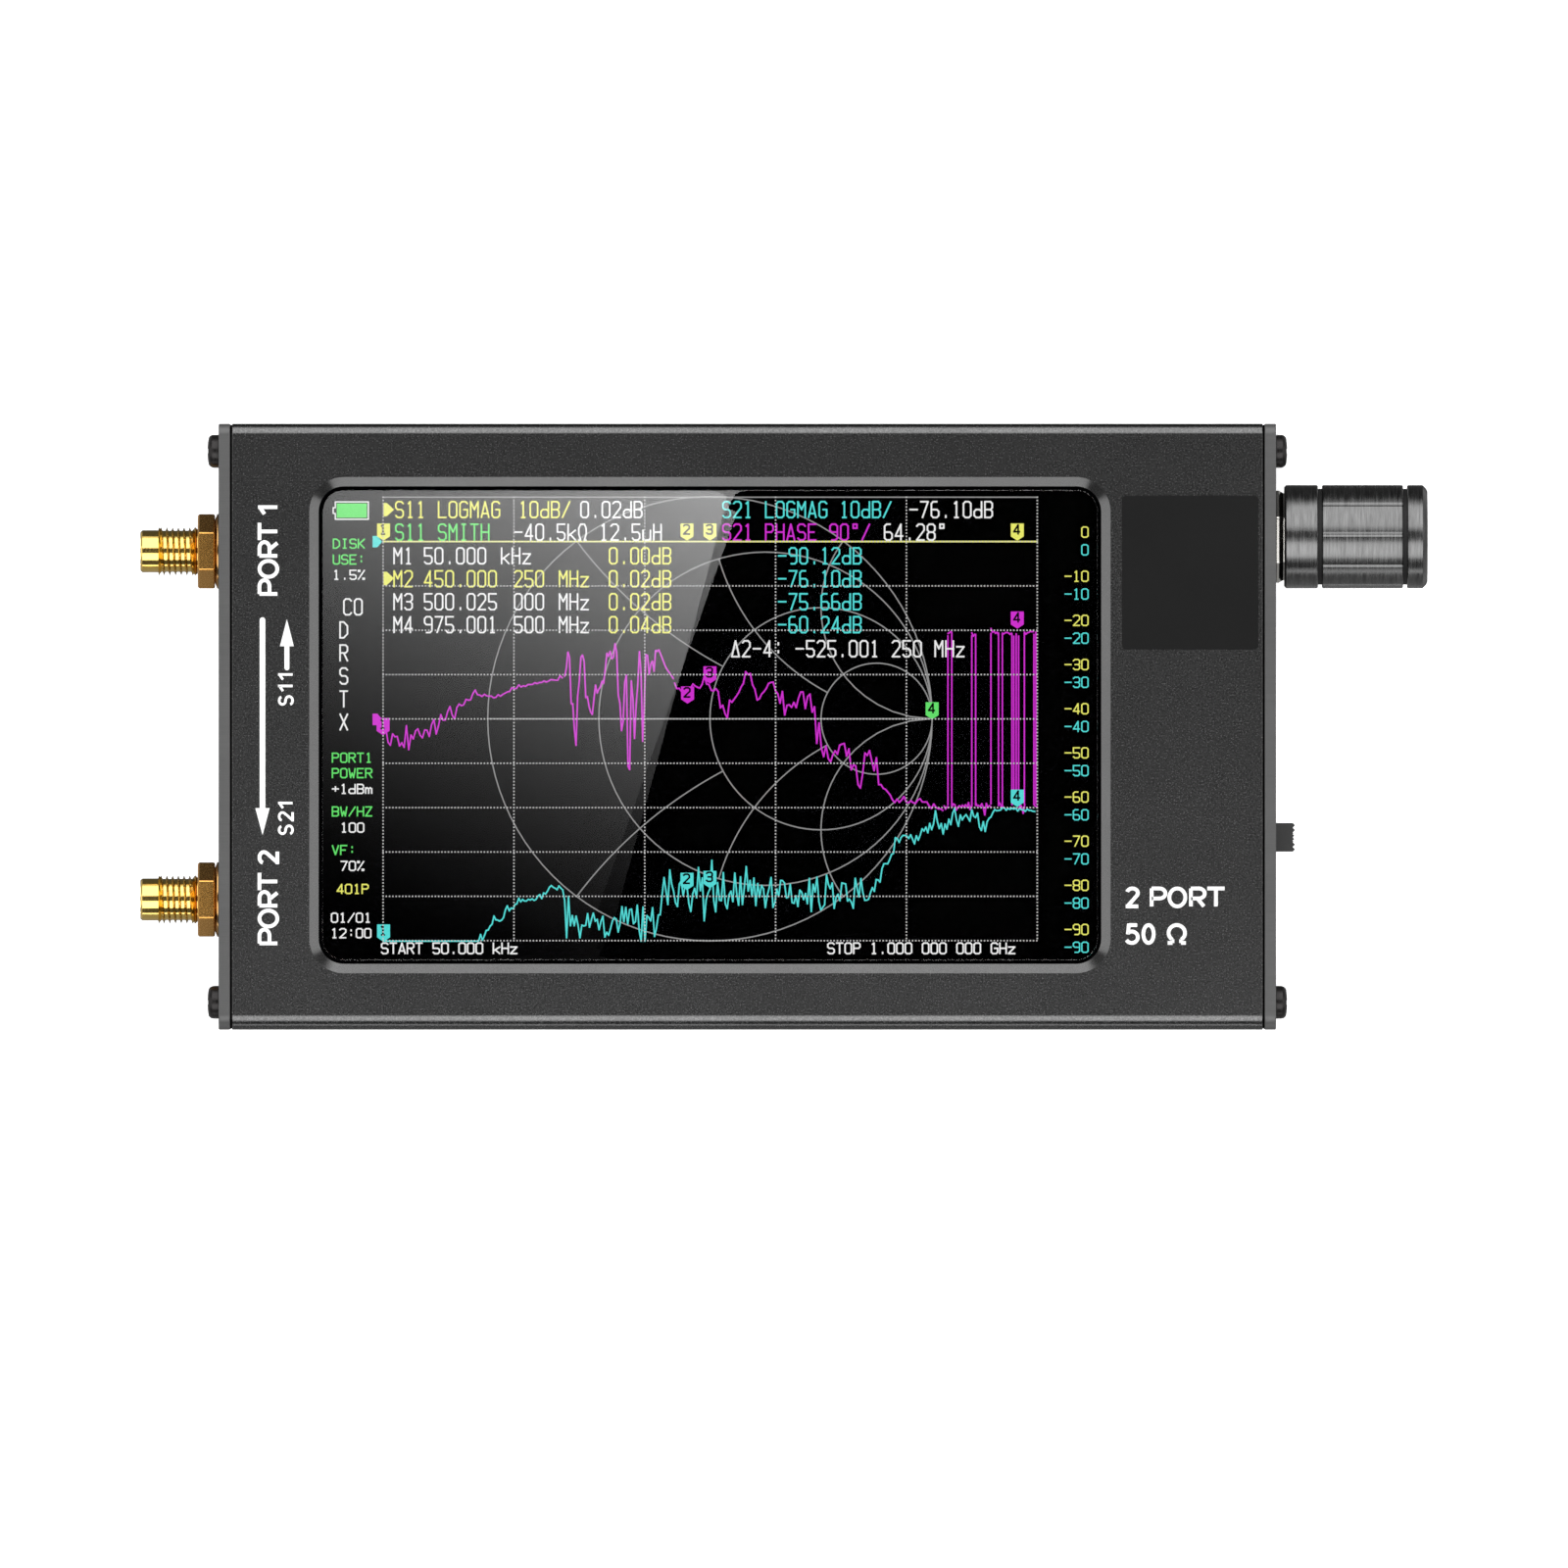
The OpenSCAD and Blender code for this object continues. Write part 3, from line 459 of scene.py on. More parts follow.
class Shell:
    """Points and faces gathered as whole arrays, then made into one mesh object."""

    def __init__(self) -> None:
        """Starts empty."""
        self.points: list[Array] = []
        self.faces: list[list[int]] = []
        self.marks: list[int] = []
        self.count = 0

    def add(self, points: Array, faces: Array, mark: int | Array = 0) -> "Shell":
        """Adds faces over new points.

        Args:
            points: n by 3, in millimetres.
            faces: whole numbers that index the new points, three or four to a face.
            mark: index of the faces' finish, one for all or one each.

        Returns:
            The shell itself.
        """
        self.faces += (np.asarray(faces) + self.count).tolist()
        self.marks += np.broadcast_to(mark, len(faces)).tolist()
        self.points.append(np.asarray(points, float))
        self.count += len(points)
        return self

    def grid(self, rows: Array, mark: int | Array = 0, closed: bool = False) -> "Shell":
        """Adds quads over rows of points whose columns wrap round.

        Args:
            rows: r by c by 3 points; going along a row and then to the next turns outwards.
            mark: index of the finish, one for all or one for each gap between rows.
            closed: whether the last row joins the first.

        Returns:
            The shell itself.
        """
        r, c = rows.shape[:2]
        k, i = np.arange(r if closed else r - 1)[:, None], np.arange(c)[None, :]
        above, beside = (k + 1) % r, (i + 1) % c
        quads = np.stack([k * c + i, k * c + beside, above * c + beside, above * c + i], -1)
        marks = np.repeat(np.broadcast_to(mark, len(k)), c)
        return self.add(rows.reshape(-1, 3), quads.reshape(-1, 4), marks)

    def cap(self, loops: Sequence[Array], height: float, place: Place, up: bool, mark: int = 0) -> "Shell":
        """Closes one end of a prism with triangles.

        Args:
            loops: the outline and its holes.
            height: where the end is.
            place: where the prism stands.
            up: whether the end faces along w or against it.
            mark: index of the finish.

        Returns:
            The shell itself.
        """
        triangles = np.array(tessellate_polygon([[Vector((*p, 0.0)) for p in loop] for loop in loops]))
        flat = np.concatenate(loops)
        a, b, c = (flat[triangles[:, i]] for i in range(3))
        area = (b[:, 0] - a[:, 0]) * (c[:, 1] - a[:, 1]) - (b[:, 1] - a[:, 1]) * (c[:, 0] - a[:, 0])
        triangles = triangles[np.abs(area) > 1e-12]
        turned_over = (area[np.abs(area) > 1e-12] > 0) != up
        triangles[turned_over] = triangles[turned_over][:, ::-1]
        solid = np.column_stack([flat, np.full(len(flat), height)])
        return self.add(place.put(solid), triangles, mark)

    def prism(self, loops: Sequence[Array], levels: Sequence[tuple[float, float]],
              place: Place = AT_ORIGIN, wall: int = 0, cap: int = 0) -> "Shell":
        """Adds a flat shape with holes, carried along w.

        At each level (k, h) every loop, moved into the material by k, stands at height h.

        Args:
            loops: the outline anticlockwise, then its holes clockwise.
            levels: (inset, height) pairs, rising.
            place: where it stands.
            wall: finish of the outline's wall.
            cap: finish of the ends and of the walls of the holes.

        Returns:
            The shell itself.
        """
        for n, loop in enumerate(loops):
            rows = np.stack([np.column_stack([inset(loop, k), np.full(len(loop), h)]) for k, h in levels])
            self.grid(place.put(rows), wall if n == 0 else cap)
        for (k, h), up in ((levels[0], False), (levels[-1], True)):
            self.cap([inset(loop, k) for loop in loops], h, place, up, cap)
        return self

    def bar(self, path: Array, width: float, low: float, high: float, mark: int = 0) -> "Shell":
        """Adds a flat ribbon: each point p gives p + m w / 2 and p - m w / 2, above and below.

        Args:
            path: points in x and y; m is the mitre at a point.
            width: the ribbon's width w.
            low, high: heights of its underside and of its top.
            mark: index of the finish.

        Returns:
            The shell itself.
        """
        p = np.asarray(path, float)
        t = np.diff(p, axis=0)
        t /= np.linalg.norm(t, axis=1, keepdims=True)
        n1, n2 = (np.stack([-v[:, 1], v[:, 0]], -1) for v in (np.vstack([t[:1], t]), np.vstack([t, t[-1:]])))
        side = (n1 + n2) / np.maximum(1 + np.sum(n1 * n2, 1, keepdims=True), 0.4) * width / 2
        flat = np.stack([p + side, p - side, p - side, p + side], 1)
        z = np.broadcast_to([high, high, low, low], flat.shape[:2])
        self.grid(np.concatenate([flat, z[..., None]], -1), mark)
        last = 4 * (len(p) - 1)
        ends = np.array([[3, 2, 1, 0], [last, last + 1, last + 2, last + 3]]) - 4 * len(p)
        self.faces += (ends + self.count).tolist()
        self.marks += [mark, mark]
        return self

    def block(self, low: Sequence[float], high: Sequence[float], place: Place = AT_ORIGIN,
              edge: float = 0.0, mark: int = 0) -> "Shell":
        """Adds a box.

        Args:
            low, high: two opposite corners.
            place: where it stands.
            edge: radius of its edges.
            mark: index of the finish.

        Returns:
            The shell itself.
        """
        (a, b, c), (d, e, f) = low, high
        loop = np.array([(a, b), (d, b), (d, e), (a, e)], float)
        if edge:
            loop = round_rect(((a + d) / 2, (b + e) / 2), d - a, e - b, edge, 4)
        return self.prism([loop], edge_levels(c, f, edge) if edge else [(0, c), (0, f)], place, mark, mark)

    def turned(self, profile: Array, place: Place, steps: int = 96, angles: Array | None = None,
               relief: Callable[[Array, Array], Array] | None = None, closed: bool = True,
               mark: int | Array = 0) -> "Shell":
        """Adds a turned shape: a point (h, r) of the profile becomes (r cos a, r sin a, h).

        Args:
            profile: (height, radius) points that rise on the outside.
            place: the axis is w, through the origin.
            steps: how many even angles, where angles isn't given.
            angles: the angles in radians.
            relief: what is taken off the radius, from arrays of heights and angles.
            closed: whether the profile is a ring; an open one starts and ends on the axis.
            mark: finish, one for all or one for each step of the profile.

        Returns:
            The shell itself.
        """
        a = np.linspace(0, 2 * math.pi, steps, endpoint=False) if angles is None else angles
        h, r = np.asarray(profile, float)[:, :1], np.asarray(profile, float)[:, 1:]
        radius = r + 0 * a[None, :] if relief is None else r - relief(h, r, a[None, :])
        rows = np.stack([radius * np.cos(a), radius * np.sin(a), h + 0 * radius], -1)
        return self.grid(place.put(rows), mark, closed)

    def piece(self, name: str, finishes: Sequence[Finish], merge: bool = True) -> bpy.types.Object:
        """Makes the mesh object.

        Args:
            name: the piece's name.
            finishes: what the marks count through.
            merge: joins points that lie within 0.1 micron, which closes poles and seams.

        Returns:
            The object, at the origin, its place in its mesh.
        """
        mesh = bpy.data.meshes.new(name)
        mesh.from_pydata((np.concatenate(self.points) * MM).tolist(), [], self.faces)
        for finish in finishes:
            mesh.materials.append(finish.material())
        mesh.polygons.foreach_set("material_index", self.marks)
        if merge:
            work = bmesh.new()
            work.from_mesh(mesh)
            bmesh.ops.remove_doubles(work, verts=work.verts, dist=1e-7)
            work.to_mesh(mesh)
            work.free()
        mesh.update()
        made = bpy.data.objects.new(name, mesh)
        bpy.context.scene.collection.objects.link(made)
        return made


def settle(piece: bpy.types.Object) -> bpy.types.Object:
    """Replaces the piece's mesh by what its modifiers make of it.

    Args:
        piece: the piece.

    Returns:
        The piece.
    """
    bpy.context.view_layer.update()
    evaluated = piece.evaluated_get(bpy.context.evaluated_depsgraph_get())
    made = bpy.data.meshes.new_from_object(evaluated)
    piece.modifiers.clear()
    piece.data = made
    return piece


def carve(piece: bpy.types.Object, *cutters: bpy.types.Object) -> bpy.types.Object:
    """Takes volumes out of a piece; the new faces keep the cutters' finishes.

    Args:
        piece: what is cut.
        cutters: the volumes, which are removed afterwards.

    Returns:
        The piece.
    """
    for cutter in cutters:
        step = piece.modifiers.new("carve", "BOOLEAN")
        step.operation, step.solver, step.object = "DIFFERENCE", "EXACT", cutter
        step.material_mode = "TRANSFER"
    settle(piece)
    for cutter in cutters:
        bpy.data.objects.remove(cutter)
    return piece


def polish(piece: bpy.types.Object, angle: float = 32.0) -> bpy.types.Object:
    """Shades the piece smooth, with edges past the angle in degrees kept sharp and flats kept flat.

    Args:
        piece: what is shaded.
        angle: the sharpest bend that is still smooth.

    Returns:
        The piece.
    """
    piece.data.shade_smooth()
    piece.data.set_sharp_from_angle(angle=math.radians(angle))
    step = piece.modifiers.new("flats", "WEIGHTED_NORMAL")
    step.keep_sharp, step.weight = True, 100
    return settle(piece)


def fit(piece: bpy.types.Object, body: str, slot: str, *nodes: str) -> bpy.types.Object:
    """Hangs a piece on a body of the frame and hides the CAD nodes that it stands for.

    Args:
        piece: the piece.
        body: the body that it rides on.
        slot: not used.
        nodes: the CAD nodes that it stands for.

    Returns:
        The piece.
    """
    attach(piece, body)
    if nodes:
        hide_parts(*nodes)
    LOG.info("%s: %d faces on %s", piece.name, len(piece.data.polygons), body)
    return piece


def softened(node: str, finish: Finish, edge: float, name: str) -> bpy.types.Object:
    """Copies a CAD node, merges it and rounds its edges.

    Args:
        node: the CAD node.
        finish: the finish of the copy.
        edge: width of the rounding.
        name: name of the copy.

    Returns:
        The copy.
    """
    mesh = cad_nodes()[node].data.copy()
    mesh.name = name
    mesh.materials.clear()
    mesh.materials.append(finish.material())
    work = bmesh.new()
    work.from_mesh(mesh)
    bmesh.ops.remove_doubles(work, verts=work.verts, dist=1e-6)
    bmesh.ops.dissolve_limit(work, angle_limit=math.radians(1), verts=work.verts, edges=work.edges)
    work.to_mesh(mesh)
    work.free()
    copy = bpy.data.objects.new(name, mesh)
    bpy.context.scene.collection.objects.link(copy)
    step = copy.modifiers.new("edge", "BEVEL")
    step.width, step.segments, step.limit_method = edge * MM, 2, "ANGLE"
    step.angle_limit = math.radians(40)
    return polish(settle(copy))


_FRAME: dict[str, object] = {}


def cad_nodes() -> dict[str, bpy.types.Object]:
    """Returns the CAD nodes by name."""
    return _FRAME["nodes"]


# ---------------------------------------------------------------- lettering


GLYPHS = {
    "0": "10 30 41 47 38 18 07 01 10", "1": "17 28 20 / 10 30", "2": "07 18 38 47 45 00 40",
    "3": "07 18 38 47 45 34 14 / 34 43 41 30 10 01", "4": "30 38 02 42",
    "5": "48 08 04 34 43 41 30 10 01", "6": "38 18 07 01 10 30 41 43 34 04", "7": "08 48 10",
    "8": "14 34 43 41 30 10 01 03 14 05 07 18 38 47 45 34", "9": "44 14 05 07 18 38 47 41 30 10",
    "A": "00 28 40 / 12 32", "B": "00 08 38 47 45 34 04 / 34 43 41 30 00",
    "C": "47 38 18 07 01 10 30 41", "D": "00 08 28 46 42 20 00", "E": "48 08 00 40 / 04 34",
    "F": "48 08 00 / 04 34", "G": "47 38 18 07 01 10 30 41 44 24", "H": "00 08 / 40 48 / 04 44",
    "I": "10 30 / 20 28 / 18 38", "K": "00 08 / 48 03 / 14 40", "L": "08 00 40",
    "M": "00 08 24 48 40", "N": "00 08 40 48", "O": "10 30 41 47 38 18 07 01 10",
    "P": "00 08 38 47 45 34 04", "R": "00 08 38 47 45 34 04 / 24 40",
    "S": "47 38 18 07 05 14 34 43 41 30 10 01", "T": "20 28 / 08 48", "U": "08 01 10 30 41 48",
    "V": "08 20 48", "W": "08 10 24 30 48", "X": "00 48 / 08 40", "Y": "08 24 20 / 24 48",
    "Z": "08 48 00 40", "d": "48 40 / 43 34 14 03 01 10 30 41", "k": "08 00 / 45 02 / 13 40",
    "z": "05 45 00 40", "m": "00 05 / 04 15 24 20 / 24 35 44 40", "n": "00 05 / 03 25 35 44 40",
    ".": "20 21", ":": "22 23 / 26 27", "-": "04 44", "+": "04 44 / 22 26", "/": "00 48",
    "%": "00 48 / 07 08 18 17 07 / 30 31 41 40 30", "*": "16 18 38 36 16",
    "@": "00 10 03 06 18 38 46 43 30 40", "^": "00 28 40 00", "u": "05 01 10 30 41 / 45 40 / 01 00",
}


@dataclass(frozen=True)
class Lettering:
    """Plain stroke figures drawn on a four by eight grid."""

    advance: float
    width: float
    height: float
    stroke: float

    def strokes(self, text: str, x: float, top: float) -> list[Array]:
        """Draws a text.

        Args:
            text: the words.
            x: where the first figure starts.
            top: the top of the figures, measured downwards.

        Returns:
            The strokes, in display dots.
        """
        found = []
        for n, glyph in enumerate(text):
            for line in GLYPHS.get(glyph, "").split("/"):
                grid = np.array([(int(pair[0]), int(pair[1])) for pair in line.split()], float)
                if len(grid):
                    scaled = grid * (self.width / 4, -self.height / 8)
                    found.append(scaled + (x + n * self.advance, top + self.height))
        return found


LARGE = Lettering(11.2, 7.7, 16.5, 1.75)
SMALL = Lettering(8.7, 6.3, 9.4, 1.5)
AXIS = Lettering(8.8, 6.5, 10.6, 1.35)
TAG = Lettering(8.0, 6.0, 9.5, 1.9)


# ---------------------------------------------------------------- case


@dataclass
class Case:
    """The drawn case: a closed section with screw bosses and board rails, and the display window."""

    edge: float = 1.6
    far_edge: float = 1.35
    near_edge: float = 1.85
    side_wall: float = 1.5
    front_wall: float = 1.8
    boss: float = 2.1
    boss_y: float = 3.35
    boss_z: float = 3.6
    bore: float = 0.9
    rail: float = 1.2
    rails: tuple[float, ...] = (7.645, 8.645, 10.445, 11.445)
    seam: float = 0.14
    joint_inset: float = 0.16
    window_gap: float = 0.45
    window_corner: float = 3.1
    bevel_width: float = 1.15
    bevel_depth: float = 1.0
    end_edge: float = 0.12
    clearance: float = 0.5
    overlap: float = 0.3
    corner_steps: int = 10

    def outline(self, holes: Sequence[Array] = ()) -> list[Array]:
        """Draws the outside of the section in y and z.

        Args:
            holes: anticlockwise loops.

        Returns:
            The outline, and the holes turned clockwise.
        """
        low, high = span("case_extrusion")
        corners = ((low[1], low[2], self.edge), (high[1], low[2], self.edge),
                   (high[1], high[2], self.far_edge), (low[1], high[2], self.near_edge))
        turns = ((180, 1, 1), (270, -1, 1), (0, -1, -1), (90, 1, -1))
        loop = np.concatenate([arc((y + i * r, z + j * r), r, start, start + 90, self.corner_steps)
                               for (y, z, r), (start, i, j) in zip(corners, turns)])
        return [loop, *(hole[::-1] for hole in holes)]

    def screw_centres(self) -> list[tuple[float, float]]:
        """Places the four screws.

        Returns:
            The y and z of each.
        """
        low, high = span("case_extrusion")
        return [(y, z) for y in (low[1] + self.boss_y, high[1] - self.boss_y)
                for z in (low[2] + self.boss_z, high[2] - self.boss_z)]

    def cavity(self) -> Array:
        """Draws the inside of the section: floor, lower bosses, railed walls, upper bosses, roof.

        Returns:
            The loop, anticlockwise.
        """
        low, high = span("case_extrusion")
        wall, roof = high[1] - self.side_wall, high[2] - self.front_wall
        y, z_low, z_high = high[1] - self.boss_y, low[2] + self.boss_z, high[2] - self.boss_z
        meet = math.degrees(math.acos((wall - y) / self.boss))
        leave = 180 - math.degrees(math.asin((roof - z_high) / self.boss))
        lower = arc((y, z_low), self.boss, 270, meet)
        a, b, c, d = self.rails
        inner = wall - self.rail
        rails = np.array([(wall, a), (inner, a), (inner, b), (wall, b),
                          (wall, c), (inner, c), (inner, d), (wall, d)])
        upper = arc((y, z_high), self.boss, -meet, leave - 360)
        half = np.concatenate([lower, rails, upper])
        return np.concatenate([half, half[::-1] * (-1, 1)])

    def window_cutter(self) -> bpy.types.Object:
        """Makes the volume of the window: straight through the roof, then opening at the bevel.

        Returns:
            The cutter.
        """
        low, high = span("cover_glass")
        top = span("case_extrusion")[1][2]
        centre = ((low[0] + high[0]) / 2, (low[1] + high[1]) / 2)
        width, height = (high - low)[:2] + 2 * self.window_gap
        loop = round_rect(centre, width, height, self.window_corner, 12)
        over = 0.4
        spread = self.bevel_width * (1 + over / self.bevel_depth)
        below = top - self.front_wall - self.clearance
        levels = [(0, below), (0, top - self.bevel_depth), (-spread, top + over)]
        return Shell().prism([loop], levels).piece("window_cutter", [WINDOW_EDGE])

    def build(self) -> None:
        """Makes the case body and carves its window."""
        low, high = span("case_extrusion")
        bores = [circle(c, self.bore, 24) for c in self.screw_centres()]
        loops = self.outline([self.cavity(), *bores])
        levels = edge_levels(low[0] + self.seam, high[0] - self.seam, self.end_edge)
        body = Shell().prism(loops, levels, ALONG_X).piece("case_body", [ANODISED])
        carve(body, self.window_cutter())
        fit(polish(body), "housing", "anodised_case", "case_extrusion")
        joints, over, k = Shell(), self.overlap, self.joint_inset
        for start, stop in ((low[0] - over, low[0] + self.seam), (high[0] - self.seam, high[0] + over)):
            joints.prism(loops, [(k, start), (k, stop)], ALONG_X)
        fit(joints.piece("joint_shadow_lines", [JOINT_SHADOW]), "housing", "anodised_case")


@dataclass
class EndPlate:
    """A flat end plate with rounded edges, its rim milled bright, and the holes of one end."""

    node: str
    case: Case
    holes: list[Array] = field(default_factory=list)
    screw_hole: float = 1.05
    edge: float = 0.12
    seam: float = 0.09

    def build(self) -> None:
        """Makes the plate."""
        low, high = span(self.node)
        screws = [circle(c, self.screw_hole, 24) for c in self.case.screw_centres()]
        loops = self.case.outline([*screws, *self.holes])
        inner = self.seam if low[0] > 0 else 0.0
        outer = 0.0 if low[0] > 0 else self.seam
        levels = edge_levels(low[0] + inner, high[0] - outer, self.edge)
        shell = Shell().prism(loops, levels, ALONG_X, wall=1)
        plate = shell.piece(self.node + "_rounded", [ANODISED, MILLED_EDGE])
        fit(polish(plate), "housing", "anodised_plate", self.node)


@dataclass
class Thread:
    """A screw thread as a wave on the radius."""

    pitch: float
    depth: float
    start: float
    stop: float
    crest: float = 0.22
    slope: float = 0.25
    fade: float = 0.5

    def rows(self, per_turn: int = 12) -> Array:
        """Returns the heights of a grid fine enough for the thread."""
        return np.linspace(self.start, self.stop, int((self.stop - self.start) / self.pitch * per_turn) + 1)

    def relief(self, h: Array, r: Array, a: Array) -> Array:
        """Cuts depth times a trapezoid of (h / pitch - a / 2 pi), faded in at both ends.

        Args:
            h: heights.
            r: radii, which don't matter here.
            a: angles in radians.

        Returns:
            What is taken off the radius.
        """
        phase = (h / self.pitch - a / (2 * math.pi)) % 1.0
        wave = np.clip((0.5 - self.crest / 2 - np.abs(phase - 0.5)) / self.slope, 0, 1)
        run = self.fade * self.pitch
        inside = np.clip((h - self.start) / run, 0, 1) * np.clip((self.stop - h) / run, 0, 1)
        return self.depth * wave * inside * ((h >= self.start) & (h <= self.stop))


@dataclass
class PlateScrews:
    """Four pan-head screws on one end, each with a tapered cross recess."""

    node: str
    case: Case
    head: float = 2.0
    height: float = 1.43
    rim: float = 0.62
    crown: float = 0.1
    shank: float = 0.85
    length: float = 6.0
    recess: float = 0.85
    arm: float = 1.2
    arm_half: float = 0.3
    thread_pitch: float = 0.4
    thread_depth: float = 0.18
    tip: float = 0.3
    under_edge: float = 0.1
    rim_turn: float = 72.0

    def one(self) -> bpy.types.Object:
        """Makes a screw along w with its seat at zero: a domed head over a threaded shank.

        Returns:
            The screw.
        """
        centre = (self.head - self.rim, self.height - self.crown - self.rim)
        corner = arc(centre, self.rim, 0, self.rim_turn, 9)
        rest = np.linspace(1, 0, 9)[1:]
        r = np.concatenate([corner[:, 0], corner[-1, 0] * rest])
        h = np.concatenate([corner[:, 1], self.height - (self.height - corner[-1, 1]) * rest ** 2])
        thread = Thread(self.thread_pitch, self.thread_depth, self.thread_pitch - self.length, -self.tip)
        rows = thread.rows(8)
        start = [(-self.length, 0.0), (-self.length, self.shank - self.tip)]
        head = [(0.0, self.shank), (0.0, self.head - self.under_edge), (self.under_edge, self.head)]
        profile = np.concatenate([start, np.column_stack([rows, np.full(len(rows), self.shank)]), head,
                                  np.column_stack([h, r])])
        shell = Shell().turned(profile, AT_ORIGIN, 48, relief=thread.relief, closed=False)
        return shell.piece("screw", [SCREW_BLACK])

    def recess_cutter(self) -> bpy.types.Object:
        """Makes the cross: a twelve-cornered loop that narrows as it goes down.

        Returns:
            The cutter.
        """
        a, b = self.arm, self.arm_half
        quarter = np.array([(a, -b), (a, b), (b, b)])
        turns = [np.array([[0, 1], [-1, 0]]), np.array([[-1, 0], [0, -1]]), np.array([[0, -1], [1, 0]])]
        loop = np.concatenate([quarter, *(quarter @ t for t in turns)])
        levels = [(0.2, self.height - self.recess), (0.0, self.height + 0.1)]
        return Shell().prism([loop], levels).piece("cross", [SCREW_BLACK])

    def build(self) -> None:
        """Makes one screw, then sets copies of it at the four places."""
        screw = carve(self.one(), self.recess_cutter())
        mesh = screw.data
        points = np.empty(len(mesh.vertices) * 3)
        mesh.vertices.foreach_get("co", points)
        mesh.calc_loop_triangles()
        faces = np.empty(len(mesh.loop_triangles) * 3, int)
        mesh.loop_triangles.foreach_get("vertices", faces)
        bpy.data.objects.remove(screw)
        low, high = span(self.node)
        right = high[0] > 0
        seat = high[0] - self.height if right else low[0] + self.height
        shell = Shell()
        for y, z in self.case.screw_centres():
            place = Place((seat, y, z), Facing.RIGHT if right else Facing.LEFT)
            shell.add(place.put(points.reshape(-1, 3) / MM), faces.reshape(-1, 3))
        piece = shell.piece(self.node + "_crossed", [SCREW_BLACK])
        fit(polish(piece), "housing", "black_screw", self.node)


BLOCK_LETTERS: dict[str, tuple[float, str]] = {
    "P": (0.76, "l 0 0 0 1 / l 0 1 .36 1 a .36 .72 .28 .28 90 -90 l .36 .44 0 .44"),
    "O": (0.94, "o .37 .5 .37 .5"),
    "R": (0.80, "l 0 0 0 1 / l 0 1 .36 1 a .36 .72 .28 .28 90 -90 l .36 .44 0 .44 / l .3 .44 .6 0"),
    "T": (0.80, "l -.1 1 .7 1 / l .3 1 .3 0"),
    "S": (0.66, "a .24 .76 .24 .24 20 270 a .24 .26 .26 .26 90 -160"),
    "0": (0.68, "o .24 .5 .24 .5"),
    "1": (0.44, "l .22 0 .22 1.08 / l .22 .98 -.1 .72"),
    "2": (0.66, "a .23 .75 .25 .25 165 -35 l .4 .55 .01 .02 / l -.08 0 .5 0"),
    "5": (0.66, "l .45 1 .07 1 / l .07 1.08 .02 .48 / a .2 .32 .28 .32 130 -150"),
    "@": (0.96, "a .38 .56 .38 .44 -58 238 / l -.04 0 .18 0 / l .58 0 .8 0 / l .18 0 .18 .2 "
                "/ l .58 0 .58 .2"),
    " ": (0.34, ""),
}


def block_strokes(letter: str, bold: float) -> list[Array]:
    """Returns the centre lines of a block letter.

    Args:
        letter: a key of BLOCK_LETTERS. In its strokes, l is a straight run of x y pairs, a is an arc
            (centre x y, radii, start and stop degrees), and o is a whole oval.
        bold: the stroke's share of the height.

    Returns:
        Paths whose stroked outline fills a capital one unit high, from the left edge.
    """
    found = []
    for stroke in BLOCK_LETTERS[letter][1].split("/"):
        points: list[Array] = []
        words = stroke.split()
        while words:
            kind, words = words[0], words[1:]
            size = next((n for n, w in enumerate(words) if w.isalpha()), len(words))
            v, words = np.array([float(w) for w in words[:size]]), words[size:]
            if kind == "l":
                points.append(v.reshape(-1, 2))
            else:
                start, stop = (v[4], v[5]) if kind == "a" else (0.0, 360.0)
                points.append(arc((0, 0), 1, start, stop, 33) * v[2:4] + v[:2])
        if points:
            path = np.concatenate(points)
            keep = np.append(True, np.linalg.norm(np.diff(path, axis=0), axis=1) > 1e-6)
            found.append(path[keep] * (1.0, 1 - bold) + bold / 2)
    return found


